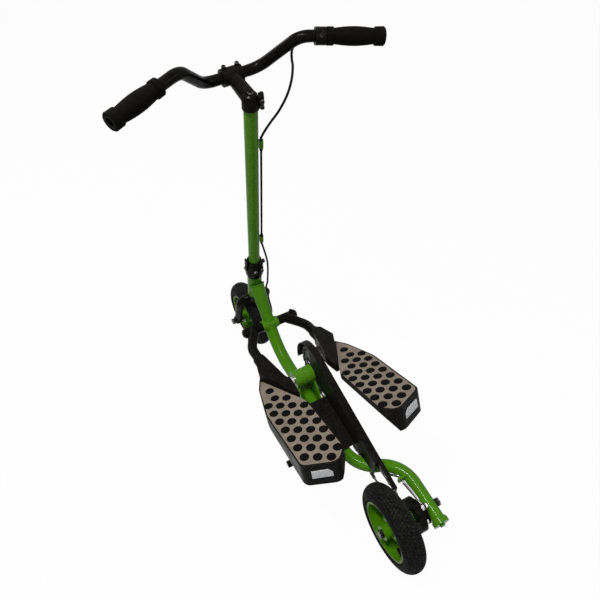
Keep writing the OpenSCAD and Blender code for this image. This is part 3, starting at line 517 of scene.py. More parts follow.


# The lighter green on convex edges is partly rubbed wear and partly painted edge highlight.
GREEN = Finish("green_enamel", (0.052, 0.180, 0.0010), (0.045, 0.157, 0.0006), patch_scale=14,
               rough_low=0.18, rough_high=0.28, grain_scale=420, grain_depth=0.03, specular=0.03,
               coat=0.12, coat_rough=0.1, wear_and_sheen=(0.10, 0.24, 0.03), wear_and_sheen_amount=0.3, dust=0.015,
               scratch=0.02, edge_round=0.7)
PALE_GREEN = Finish("rolled_rim_edge", (0.125, 0.165, 0.055), (0.085, 0.13, 0.032), patch_scale=60,
                    rough_low=0.35, rough_high=0.5, specular=0.1, dust=0.1)
# The lighter grey on convex edges is partly rubbed wear and partly painted edge sheen.
BLACK = Finish("black_enamel", (0.0020, 0.0018, 0.0015), (0.0034, 0.0030, 0.0026), patch_scale=30,
               rough_low=0.2, rough_high=0.32, grain_scale=520, grain_depth=0.03, specular=0.018,
               coat=0.03, coat_rough=0.14, wear_and_sheen=(0.014, 0.013, 0.012), wear_and_sheen_amount=0.4, dust=0.008,
               scratch=0.015, edge_round=0.6)
STEEL = Finish("bright_steel", (0.62, 0.61, 0.60), (0.45, 0.44, 0.43), patch_scale=120,
               rough_low=0.16, rough_high=0.32, grain_scale=1500, grain_depth=0.02, metallic=1,
               wear_and_sheen=(0.75, 0.74, 0.72), edge_round=0.3)
CHROME = Finish("chrome", (0.78, 0.78, 0.78), (0.66, 0.66, 0.66), patch_scale=90, rough_low=0.07,
                rough_high=0.16, grain_scale=1500, grain_depth=0.01, metallic=1, edge_round=0.3)
# The bright grey on the chain's convex edges is partly rubbed steel and partly painted glint on the links.
CHAIN = Finish("oiled_steel", (0.030, 0.028, 0.026), (0.012, 0.011, 0.010), patch_scale=200,
               rough_low=0.28, rough_high=0.5, grain_scale=1200, grain_depth=0.05, metallic=1,
               wear_and_sheen=(0.30, 0.29, 0.27), wear_and_sheen_amount=0.6, edge_round=0.3)
# The lighter grey on the tread's convex edges is painted highlight: it lightens the block tops against the
# shaded grooves.
TYRE = Finish("tyre_rubber", (0.0026, 0.0026, 0.0026), (0.0044, 0.0043, 0.0042), patch_scale=70,
              rough_low=0.55, rough_high=0.75, grain_scale=1100, grain_depth=0.08, specular=0.04,
              wear_and_sheen=(0.019, 0.0185, 0.018), wear_and_sheen_amount=0.9, dust=0.012, edge_round=0.3)
GRIP = Finish("foam_grip", (0.0024, 0.0022, 0.0019), (0.0038, 0.0035, 0.0031), patch_scale=160,
              rough_low=0.7, rough_high=0.9, grain_scale=700, grain_depth=0.35, specular=0.025,
              dust=0.008, edge_round=1.0)
# The lighter grey on convex edges is partly rubbed wear and partly painted edge sheen.
MOULDED = Finish("moulded_plastic", (0.0022, 0.0020, 0.0017), (0.0036, 0.0033, 0.0029),
                 patch_scale=36, rough_low=0.28, rough_high=0.42, grain_scale=1000, grain_depth=0.09,
                 specular=0.032, wear_and_sheen=(0.016, 0.015, 0.014), wear_and_sheen_amount=0.5, dust=0.008,
                 scratch=0.02, edge_round=0.9)
PAD = Finish("grip_pad", (0.190, 0.155, 0.122), (0.148, 0.120, 0.094), patch_scale=34, rough_low=0.7,
             rough_high=0.9, grain_scale=800, grain_depth=0.16, specular=0.06, wear_and_sheen=(0.25, 0.21, 0.17),
             wear_and_sheen_amount=0.4, dust=0.03, scratch=0.04, edge_round=0.4)
STUD = Finish("stud_rubber", (0.0020, 0.0017, 0.0015), (0.0034, 0.0029, 0.0026), patch_scale=90,
              rough_low=0.5, rough_high=0.72, grain_scale=900, grain_depth=0.1, specular=0.02,
              dust=0.008, edge_round=0.3)
REFLECTOR = Finish("prism_plastic", (0.52, 0.53, 0.54), (0.36, 0.37, 0.38), patch_scale=260,
                   rough_low=0.12, rough_high=0.3, grain_scale=1400, grain_depth=0.05, specular=0.4,
                   coat=0.2, dust=0.05)
JACKET = Finish("cable_jacket", (0.0022, 0.0022, 0.0022), (0.0038, 0.0038, 0.0038), patch_scale=80,
                rough_low=0.3, rough_high=0.42, grain_scale=1300, grain_depth=0.03, specular=0.03,
                dust=0.01)

SLOT_FINISH: dict[Slot, Finish] = {
    Slot.GREEN: GREEN, Slot.BLACK: BLACK, Slot.STEEL: STEEL, Slot.CHAIN: CHAIN, Slot.TYRE: TYRE,
    Slot.GRIP: GRIP, Slot.MOULDED: MOULDED, Slot.PAD: PAD, Slot.REFLECTOR: REFLECTOR,
}
NODE_FINISH: dict[str, Finish] = {"front_axle": CHAIN, "rear_axle": CHAIN}


class Palette:
    """Materials of the finishes, each one made once."""

    def __init__(self) -> None:
        """Builds the shared groups."""
        self.effects = EffectLibrary()
        self.made: dict[str, bpy.types.Material] = {}

    def of(self, finish: Finish) -> bpy.types.Material:
        """Material of a finish, which is made when it is first asked for.

        Args:
            finish: The finish.

        Returns:
            The material.
        """
        if finish.name not in self.made:
            self.made[finish.name] = finish.material(self.effects)
        return self.made[finish.name]

    def dress_frame(self) -> None:
        """Gives every CAD node its own finish, or else that of its slot."""
        for part in frame["record"]["subparts"]:
            finish = NODE_FINISH.get(part["node"], SLOT_FINISH[Slot(part["material_slot"])])
            materials = frame["nodes"][part["node"]].data.materials
            materials.clear()
            materials.append(self.of(finish))
            LOG.info("dressed %s in %s", part["node"], finish.name)


@dataclass(frozen=True)
class Nut:
    """Hexagon nut on a cross bolt.

    It has a side, 1 for the left and -1 for the right, the distance of its seat from the bolt's
    middle, its radius over corners and height, and the radius of the stud that shows, or 0 for a
    plain domed head.
    """
    side: int
    out: float
    size: Pair
    stud: float = 0


class Form:
    """A mesh in the making, in millimetres in one of the bike's frames."""
    head_steps: int = 24

    def __init__(self) -> None:
        """Starts an empty mesh."""
        self.mesh = bmesh.new()

    def skin(self, rings: list[list[Vector]], closed: bool = False) -> None:
        """Skins a row of rings, with a face over each end unless it is closed on itself.

        Args:
            rings: Rings of as many points each.
            closed: True where the last ring joins the first.
        """
        rows = [[self.mesh.verts.new(p) for p in ring] for ring in rings]
        count = len(rows[0])
        for a, b in list(zip(rows, rows[1:])) + ([(rows[-1], rows[0])] if closed else []):
            for k in range(count):
                self.mesh.faces.new((a[k], a[(k + 1) % count], b[(k + 1) % count], b[k]))
        if not closed:
            self.mesh.faces.new(rows[0][::-1])
            self.mesh.faces.new(rows[-1])

    def lathe(self, profile: Profile, place: Matrix = Matrix(), steps: int = 32,
              closed: bool = False) -> None:
        """Turns a profile about the z axis of a frame.

        Args:
            profile: Radius and height of each ring.
            place: The frame.
            steps: Points on a ring.
            closed: True for a ring with a hole.
        """
        self._turned([(r, z, False) for r, z in profile], place, steps, closed)

    def _turned(self, rows: list[tuple[float, float, bool]], place: Matrix, steps: int,
                closed: bool = False) -> None:
        """Turns rows about the z axis of a frame, each one round or six-sided.

        Args:
            rows: Radius and height of each ring, and True where it is a hexagon.
            place: The frame.
            steps: Points on a ring.
            closed: True for a ring with a hole.
        """
        rings: list[list[Vector]] = []
        for radius, z, six in rows:
            reaches = [(a, hexagon(radius, a) if six else radius) for a in turns(steps)]
            rings.append([place @ Vector((r * math.cos(a), r * math.sin(a), z)) for a, r in reaches])
        self.skin(rings, closed)

    def tube(self, path: list[Vector], radius: float, sides: int = 12, closed: bool = False,
             ripple: float = 0, wave: int = 4) -> None:
        """Sweeps a round section along a path.

        Args:
            path: Points along the middle.
            radius: Radius of the section.
            sides: Points on the section.
            closed: True where the path joins its start.
            ripple: Share of the radius that swells and shrinks.
            wave: Path points in one swell.
        """
        rings: list[list[Vector]] = []
        count = len(path)
        across: Vector | None = None
        for i, point in enumerate(path):
            before = path[i - 1] if i or closed else point
            after = path[(i + 1) % count] if i + 1 < count or closed else point
            along = (after - before).normalized()
            across = along.orthogonal() if across is None else across - along * across.dot(along)
            across.normalize()
            up = along.cross(across)
            swell = radius * (1 + ripple * math.sin(2 * math.pi * i / wave))
            rings.append([point + swell * (across * math.cos(a) + up * math.sin(a)) for a in turns(sides)])
        self.skin(rings, closed)

    def socket_screw(self, place: Matrix, size: Pair) -> None:
        """Head of a cap screw with a hexagon socket.

        Args:
            place: Frame at the head's seat, with z outwards.
            size: Radius and height of the head.
        """
        radius, height = size
        edge, key, floor = 0.12 * radius, 0.56 * radius, 0.35 * height
        mouth = 1.12 * key
        self._turned([(radius, 0, False), (radius, height - edge, False), (radius - edge, height, False),
                      (mouth, height, True), (key, height - edge, True), (key, floor, True)],
                     place, self.head_steps)

    def hex_nut(self, nut: Nut, middle: Point = (0, 0, 0)) -> None:
        """Hexagon nut with rounded corners and the end of its stud.

        Args:
            nut: The nut.
            middle: Middle of its bolt.
        """
        radius, height = nut.size
        stud, shoulder = nut.stud, 0.8 * height
        rows = [(radius, 0, True), (radius, shoulder, True), (0.84 * radius, height, False)]
        if stud:
            rows += [(1.1 * stud, height, False), (stud, shoulder, False), (stud, 1.3 * height, False),
                     (0.8 * stud, 1.4 * height, False)]
        else:
            rows += [(0.5 * radius, 1.1 * height, False), (0.15 * radius, 1.15 * height, False)]
        seat = Vector(middle) + Vector((0, nut.side * nut.out, 0))
        self._turned(rows, aim(seat, (0, nut.side, 0)), self.head_steps)

    def washer(self, place: Matrix, size: Triple) -> None:
        """Flat ring with a broken edge.

        Args:
            place: Frame at the ring's seat, with z outwards.
            size: Radius of its hole, radius of its rim and thickness.
        """
        inner, outer, thick = size
        edge = 0.25 * thick
        rim = [(outer - edge, 0), (outer, edge), (outer, thick - edge), (outer - edge, thick)]
        self.lathe([(inner, 0), *rim, (inner, thick)], place, closed=True)

    def band(self, outline: list[Vector], inner: list[Vector], place: Matrix, width: float) -> None:
        """Closed strap between two outlines.

        Args:
            outline: Outside of the strap, in the frame's xy plane.
            inner: Inside of it, with as many points.
            place: The frame.
            width: Width of the strap along z.
        """
        half = width / 2
        rows = []
        for far, near in zip(outline, inner):
            corners = ((near, -half), (far, -half), (far, half), (near, half))
            rows.append([place @ Vector((p.x, p.y, z)) for p, z in corners])
        self.skin(rows, closed=True)


@dataclass
class SubAssembly:
    """Pieces of the bike that belong together, dressed from one palette."""
    palette: Palette

    def build(self) -> None:
        """Builds the pieces."""
        raise NotImplementedError

    def piece(self, form: Form, name: str, place: Matrix, body: Body, finish: Finish, slot: Slot,
              crease: float = CREASE) -> bpy.types.Object:
        """Makes the object of a form, in metres, and lets it ride on its body.

        Args:
            form: The mesh, which is used up.
            name: Name of the piece.
            place: Frame that the mesh was made in.
            body: Body that carries it.
            finish: Its finish.
            slot: Material slot of the record that it goes with.
            crease: Angle from which an edge is sharp, in degrees.

        Returns:
            The object.
        """
        obj = self.loose(form, name, place, finish, slot, crease)
        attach(obj, body.value)
        return obj

    def loose(self, form: Form, name: str, place: Matrix, finish: Finish, slot: Slot,
              crease: float = CREASE) -> bpy.types.Object:
        """Makes the object of a form, in metres, with no body yet.

        Args:
            form: The mesh, which is used up.
            name: Name of the piece.
            place: Frame that the mesh was made in.
            finish: Its finish.
            slot: Material slot of the record that it goes with; not used.
            crease: Angle from which an edge is sharp, in degrees.

        Returns:
            The object.
        """
        mesh = form.mesh
        mesh.transform(place)
        bmesh.ops.recalc_face_normals(mesh, faces=mesh.faces)
        for face in mesh.faces:
            face.smooth = True
        limit = math.radians(crease)
        for edge in mesh.edges:
            edge.smooth = len(edge.link_faces) == 2 and edge.calc_face_angle(0) < limit
        data = bpy.data.meshes.new(name)
        mesh.to_mesh(data)
        mesh.free()
        data.materials.append(self.palette.of(finish))
        obj = bpy.data.objects.new(name, data)
        bpy.context.scene.collection.objects.link(obj)
        LOG.info("made %s with %d faces", name, len(data.polygons))
        return obj


@dataclass(frozen=True)
class Lamp:
    """One rectangular lamp, in metres and watts."""
    name: str
    place: Triple
    length: float
    width: float
    power: float


@dataclass
class Studio:
    """Camera, floor, lamps and white background."""
    focal_px: float = 557.35
    image_px: float = 600
    sensor: float = 36
    yaw: float = -24.66
    pitch: float = 44.16
    roll: float = -4.29
    eye: Triple = (-399.91, 364.46, 1310.01)
    sky: float = 0.25
    floor_size: float = 40
    floor_tone: float = 0.6
    floor_rough: float = 0.9
    floor_white: float = 0.965
    lit_point: Triple = (0, 0, 0.3)
    lamps: tuple[Lamp, ...] = (
        Lamp("key", (-0.4, 1.0, 3.0), 1.4, 0.09, 88),
        Lamp("fill", (-1.0, -2.2, 1.9), 0.8, 0.8, 9),
        Lamp("back", (2.6, 0.9, 2.2), 0.5, 0.5, 16),
    )

    def build(self) -> None:
        """Sets the camera, the floor, the sky and the lamps."""
        bpy.context.scene.view_settings.view_transform = "Standard"
        self._camera()
        self._floor()
        self._sky()
        self._lamps()
        LOG.info("studio is set")

    def _lamps(self) -> None:
        """Hangs the lamps, turned to the object."""
        for lamp in self.lamps:
            data = bpy.data.lights.new(lamp.name, "AREA")
            data.shape = "RECTANGLE"
            data.size, data.size_y = lamp.length, lamp.width
            data.energy = lamp.power
            made = bpy.data.objects.new(lamp.name, data)
            toward = Vector(self.lit_point) - Vector(lamp.place)
            spin = toward.to_track_quat("-Z", "Y").to_matrix().to_4x4()
            made.matrix_world = Matrix.Translation(lamp.place) @ spin
            bpy.context.scene.collection.objects.link(made)

    def _camera(self) -> None:
        """Puts the camera where the photograph was taken from."""
        yaw, pitch, roll = (math.radians(a) for a in (self.yaw, self.pitch, self.roll))
        level_x, level_y = math.cos(yaw) * math.cos(pitch), math.sin(yaw) * math.cos(pitch)
        ahead = Vector((level_x, level_y, -math.sin(pitch)))
        level = ahead.cross(Vector((0, 0, 1))).normalized()
        above = level.cross(ahead)
        right = math.cos(roll) * level + math.sin(roll) * above
        up = -math.sin(roll) * level + math.cos(roll) * above
        lean = Matrix.Rotation(-math.radians(BIKE.lean), 3, "X")
        data = bpy.data.cameras.new("camera")
        data.sensor_width = self.sensor
        data.lens = self.sensor * self.focal_px / self.image_px
        camera = bpy.data.objects.new("camera", data)
        place = Matrix([lean @ v for v in (right, up, -ahead)]).transposed().to_4x4()
        place.translation = BIKE.parked() @ Vector(self.eye)
        camera.matrix_world = place
        bpy.context.scene.collection.objects.link(camera)
        bpy.context.scene.camera = camera

    def _floor(self) -> None:
        """Lays a plain pale floor that keeps a soft shadow."""
        half = self.floor_size / 2
        corners = [(-half, -half, 0), (half, -half, 0), (half, half, 0), (-half, half, 0)]
        data = bpy.data.meshes.new("floor")
        data.from_pydata(corners, [], [(0, 1, 2, 3)])
        made = bpy.data.materials.new("pale_floor")
        made.use_nodes = True
        tree = made.node_tree
        shader = tree.nodes["Principled BSDF"]
        shader.inputs["Base Color"].default_value = (*[self.floor_tone] * 3, 1)
        shader.inputs["Roughness"].default_value = self.floor_rough
        shader.inputs["Specular IOR Level"].default_value = 0
        glow = tree.nodes.new("ShaderNodeEmission")
        glow.inputs["Strength"].default_value = 1
        mix = tree.nodes.new("ShaderNodeMixShader")
        share = tree.nodes.new("ShaderNodeMath")
        share.operation = "MULTIPLY"
        share.inputs[1].default_value = self.floor_white
        tree.links.new(self._seen(tree), share.inputs[0])
        tree.links.new(share.outputs[0], mix.inputs["Fac"])
        tree.links.new(shader.outputs["BSDF"], mix.inputs[1])
        tree.links.new(glow.outputs["Emission"], mix.inputs[2])
        tree.links.new(mix.outputs["Shader"], tree.nodes["Material Output"].inputs["Surface"])
        data.materials.append(made)
        floor = bpy.data.objects.new("floor", data)
        bpy.context.scene.collection.objects.link(floor)

    def _sky(self) -> None:
        """White background, and a plainer level of light on the object."""
        world = bpy.data.worlds.new("studio")
        bpy.context.scene.world = world
        world.use_nodes = True
        tree = world.node_tree
        mix = tree.nodes.new("ShaderNodeMixShader")
        tree.links.new(self._seen(tree), mix.inputs["Fac"])
        lit, white = tree.nodes["Background"], tree.nodes.new("ShaderNodeBackground")
        for place, (shade, strength) in enumerate(((lit, self.sky), (white, 1)), start=1):
            shade.inputs["Color"].default_value = (1, 1, 1, 1)
            shade.inputs["Strength"].default_value = strength
            tree.links.new(shade.outputs["Background"], mix.inputs[place])
        tree.links.new(mix.outputs["Shader"], tree.nodes["World Output"].inputs["Surface"])

    @staticmethod
    def _seen(tree: bpy.types.NodeTree) -> bpy.types.NodeSocket:
        """Tells rays from the camera, a reflection or glass.

        Args:
            tree: The tree that takes the nodes.

        Returns:
            The socket that is 1 for such rays.
        """
        path = tree.nodes.new("ShaderNodeLightPath")
        total: bpy.types.NodeSocket = path.outputs["Is Camera Ray"]
        for name in ("Is Glossy Ray", "Is Transmission Ray"):
            more = tree.nodes.new("ShaderNodeMath")
            more.operation = "MAXIMUM"
            tree.links.new(total, more.inputs[0])
            tree.links.new(path.outputs[name], more.inputs[1])
            total = more.outputs[0]
        return total


@dataclass(frozen=True)
class TreadRow:
    """One row of tread blocks: its angles across the tyre, and how the blocks stand in it."""
    low: float
    high: float
    count: int
    shift: float
    skew: float


@dataclass
class Wheel(SubAssembly):
    """One wheel's treaded tyre, rolled rim edges and valve."""
    name: str
    body: Body
    place: Matrix
    tread_depth: float = 1.4
    tread_edge: float = 57
    shoulder: Pair = (2, 1)
    crown_angles: range = range(52, 0, -6)
    bead_r: float = 66.2
    bead_half: float = 20
    flank: Profile = ((1, 0), (2.2, 1.9), (3.9, 4.3))
    wall: Profile = ((92, 0), (86, 0), (80, 0), (77.5, 0), (77, 0.5), (75.6, 0.5), (75, 0), (70, 0), (65, 0))
    tyre_steps: int = 120
    rows: tuple[TreadRow, ...] = (TreadRow(-7, 7, 84, 0, 1.2), TreadRow(9, 22, 84, 0.5, 1.2),
                                  TreadRow(24, 38, 84, 0, 1.2), TreadRow(41, 56, 132, 0.25, 0.6))
    block_seat: float = 0.4
    block_chamfer: float = 0.35
    block_share: float = 0.4
    foot_grow: float = 0.05
    top_grow: float = -0.06
    rim_half: float = 22.3
    roll_inset: float = 1.6
    roll_half: Pair = (2.025, 0.825)
    roll_proud: float = 0.3
    roll_sides: int = 10
    roll_steps: int = 96
    valve_angle: float = 163
    valve_side: float = 13
    valve_sink: float = 2.2
    valve: Profile = ((6.5, 0), (6.2, 2), (4.4, 4.5), (3.9, 8), (3.6, 14), (4.4, 14.2), (4.4, 15),
                      (4.0, 15.5), (4.4, 16), (4.0, 17.5), (4.4, 18.5), (4.0, 20), (4.3, 21.5),
                      (3.4, 23.5), (1.2, 24.2))

    def build(self) -> None:
        """Builds the wheel's pieces."""
        self._tyre()
        self._rolled_edge()
        self._valve()

    def _across(self, degrees: float, depth: float) -> Pair:
        """Point of the tyre's section.

        Args:
            degrees: Angle of the point from the crown.
            depth: Its depth under the round section.

        Returns:
            Its radius and side.
        """
        ring = BIKE.wheel_r - BIKE.tyre_r
        r = BIKE.tyre_r - depth
        return ring + r * math.cos(math.radians(degrees)), r * math.sin(math.radians(degrees))

    def _tyre(self) -> None:
        """Carcass with sidewall lines, and rows of tread blocks seated on it."""
        form = Form()
        half = [(self.bead_r, self.bead_half)]
        half += [(BIKE.rim_r + up, self.bead_half + out) for up, out in self.flank]
        outer, inner = (self.tread_edge + step for step in self.shoulder)
        section = [*self.wall, (outer, 0), (inner, self.tread_depth)]
        section += [(a, self.tread_depth) for a in self.crown_angles]
        half += [self._across(a, depth) for a, depth in section]
        profile = [(r, -y) for r, y in half] + half[::-1]
        form.lathe(profile, Matrix.Rotation(math.pi / 2, 4, "X"), self.tyre_steps, closed=True)
        for row in self.rows:
            for side in SIDES if row.low > 0 else (1,):
                for k in range(row.count):
                    self._block(form, row, side, k)
        made = self.piece(form, f"{self.name}_tread_tyre", self.place, self.body, TYRE, Slot.TYRE, crease=30)
        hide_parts(f"{self.name}_tyre")

    def _block(self, form: Form, row: TreadRow, side: int, k: int) -> None:
        """One slanted tread block with a sloped foot.

        Args:
            form: Mesh that takes it.
            row: Row that it stands in.
            side: 1 for the row itself, -1 for its mirror image.
            k: Number of the block.
        """
        low, high, pitch = row.low * side, row.high * side, 360 / row.count
        middle = (low + high) / 2
        corners = ((low, -1), (low, 1), (middle, 1), (high, 1), (high, -1), (middle, -1))
        levels = ((self.tread_depth + self.block_seat, self.foot_grow), (self.block_chamfer, 0),
                  (0, self.top_grow))
        rings = []
        for depth, grow in levels:
            ring = []
            for across, along in corners:
                a = middle + (across - middle) * (1 + grow)
                r, y = self._across(a, depth)
                slant = row.skew * (a - middle) / (high - low)
                reach = along * pitch * (self.block_share + grow / 2)
                b = math.radians((k + row.shift) * pitch + reach + slant)
                ring.append(Vector((r * math.cos(b), y, r * math.sin(b))))
            rings.append(ring)
        form.skin(rings)

    def _rolled_edge(self) -> None:
        """Rolled edge of the rim, on both sides, seated on its flange."""
        form = Form()
        middle, face = BIKE.rim_r - self.roll_inset, self.rim_half + self.roll_proud
        wide, high = self.roll_half
        section = [(middle + wide * math.cos(a), face + high * math.sin(a)) for a in turns(self.roll_sides)]
        for side in SIDES:
            form.lathe(section, Matrix.Rotation(-side * math.pi / 2, 4, "X"), self.roll_steps, closed=True)
        self.piece(form, f"{self.name}_rim_edge", self.place, self.body, PALE_GREEN, Slot.GREEN, crease=50)

    def _valve(self) -> None:
        """Rubber valve and its ribbed cap, standing in the rim's well."""
        form = Form()
        turn = math.radians(self.valve_angle)
        inward = Vector((-math.cos(turn), 0, math.sin(turn)))
        foot = LEFT * self.valve_side - inward * (self.bead_r - self.valve_sink)
        form.lathe(self.valve, aim(foot, inward), steps=20)
        self.piece(form, f"{self.name}_valve", self.place, self.body, JACKET, Slot.TYRE)


@dataclass
class Cockpit(SubAssembly):
    """Screws of the stem, the collar and the brake lever, the collar's ribs and the lever's adjuster."""
    clamp_wall: float = 6
    clamp_lid: float = 3
    lid_screw: Pair = (4.2, 2.6)
    lid_screw_ahead: float = 4
    lid_screw_y: float = 14
    stem_bottom: float = 765
    stem_top: float = 796
    stem_screw: Pair = (6.2, 3.4)
    guide_angle: float = -115
    body_r: float = 17.3
    pinch_screw: Pair = (4.6, 3.6)
    pinch_out: float = 4
    pinch_half: float = 10.8
    pinch_rises: Pair = (9, 21)
    collar_r: float = 23
    collar_lug: float = 4
    collar_bolt_z: float = 278
    collar_bolt_y: float = 8.5
    collar_screw: Pair = (4.3, 2.2)
    collar_nuts: tuple[Nut, ...] = (Nut(1, 24.8, (6.2, 3.6)), Nut(-1, 25.8, (6.4, 4)))
    rib_heights: Pair = (250, 262)
    rib: Profile = ((-0.6, -1.6), (0.7, -1), (0.7, 1), (-0.6, 1.6))
    bar_corner_x: float = 28
    bar_end_x: float = -36
    lever_gap: float = 12
    lever_reach: float = 26
    lever_drop: float = 34
    lever_half: float = 7.8
    lever_clamp: float = 15.8
    hinge_screw: Pair = (4.6, 2.4)
    clamp_screw: Pair = (3.6, 2.8)
    adjuster_gap: float = 7.6
    adjuster_foot: Pair = (3.4, 0)
    adjuster_nose: Profile = ((3.4, 12), (3, 16))
    knurl_radii: Pair = (3.8, 4.3)
    knurl_start: float = 1.5
    knurl_pitch: float = 1.1
    knurls: int = 9

    def build(self) -> None:
        """Builds the cockpit's pieces."""
        self._stem()
        self._collar()
        self._lever()

    def _stem(self) -> None:
        """Screws on the bar clamp's lid, on top of the stem and through its slot."""
        place = BIKE.steered()
        form = Form()
        lid = BIKE.clamp_z + BIKE.bar_d / 2 + self.clamp_wall + self.clamp_lid
        for y in (-self.lid_screw_y, self.lid_screw_y):
            seat = (BIKE.stem_reach + self.lid_screw_ahead, y, lid - SINK)
            form.socket_screw(Matrix.Translation(seat), self.lid_screw)
        form.socket_screw(Matrix.Translation((0, 0, self.stem_top - SINK)), self.stem_screw)
        self.piece(form, "stem_screws", place, Body.STEERING, CHAIN, Slot.STEEL)
        form = Form()
        turn = Matrix.Rotation(math.radians(self.guide_angle), 4, "Z")
        for rise in self.pinch_rises:
            for side in SIDES:
                spot = (self.body_r + self.pinch_out, side * self.pinch_half, self.stem_bottom + rise)
                seat = Matrix.Translation(spot) @ Matrix.Rotation(-side * math.pi / 2, 4, "X")
                form.socket_screw(turn @ seat, self.pinch_screw)
        self.piece(form, "pinch_screws", place, Body.STEERING, CHAIN, Slot.STEEL)

    def _collar(self) -> None:
        """Screws, nuts and ribs of the clamp collar."""
        place = BIKE.steered()
        form = Form()
        back = Matrix.Rotation(-math.pi / 2, 4, "Y")
        for y in (-self.collar_bolt_y, self.collar_bolt_y):
            seat = (-self.collar_r - self.collar_lug, y, self.collar_bolt_z)
            form.socket_screw(Matrix.Translation(seat) @ back, self.collar_screw)
        for nut in self.collar_nuts:
            form.hex_nut(nut, (0, 0, self.collar_bolt_z))
        self.piece(form, "collar_screws", place, Body.STEERING, CHAIN, Slot.STEEL)
        form = Form()
        for z in self.rib_heights:
            form.lathe([(self.collar_r + out, z + up) for out, up in self.rib], steps=48, closed=True)
        self.piece(form, "collar_ribs", place, Body.STEERING, BLACK, Slot.BLACK)

    def lever_frame(self) -> tuple[Vector, Vector, Vector]:
        """Place of the brake lever on the right of the bar.

        Returns:
            Its pivot, its forward direction and the bar's outward direction.
        """
        height = BIKE.clamp_z + BIKE.bar_rise
        corner = Vector((self.bar_corner_x, BIKE.bar_half - BIKE.bar_sweep, height))
        end = Vector((self.bar_end_x, BIKE.bar_half, height - BIKE.grip_fall))
        out = (end - corner).normalized()
        drop = math.radians(self.lever_drop)
        ahead = out.cross(Vector((0, 0, 1))).normalized() * math.cos(drop) - Vector((0, 0, math.sin(drop)))
        pivot = end - out * (BIKE.grip_len + self.lever_gap) + ahead * self.lever_reach
        flip = Vector((1, -1, 1))
        return pivot * flip, ahead * flip, out * flip

    def _lever(self) -> None:
        """Hinge screws, clamp screw and knurled cable adjuster of the brake lever."""
        place = BIKE.steered()
        pivot, ahead, out = self.lever_frame()
        hinge = out.cross(ahead).normalized()
        form = Form()
        for side in SIDES:
            form.socket_screw(aim(pivot + hinge * side * self.lever_half, hinge * side), self.hinge_screw)
        seat = pivot - ahead * self.lever_reach - ahead * self.lever_clamp
        form.socket_screw(aim(seat, -ahead), self.clamp_screw)
        self.piece(form, "lever_screws", place, Body.STEERING, CHAIN, Slot.STEEL)
        form = Form()
        knurl = [(self.knurl_radii[i % 2], self.knurl_start + self.knurl_pitch * i)
                 for i in range(self.knurls)]
        seat = aim(pivot - out * self.adjuster_gap, -out)
        form.lathe([self.adjuster_foot, *knurl, *self.adjuster_nose], seat, steps=24)
        self.piece(form, "lever_adjuster", place, Body.STEERING, BLACK, Slot.BLACK)


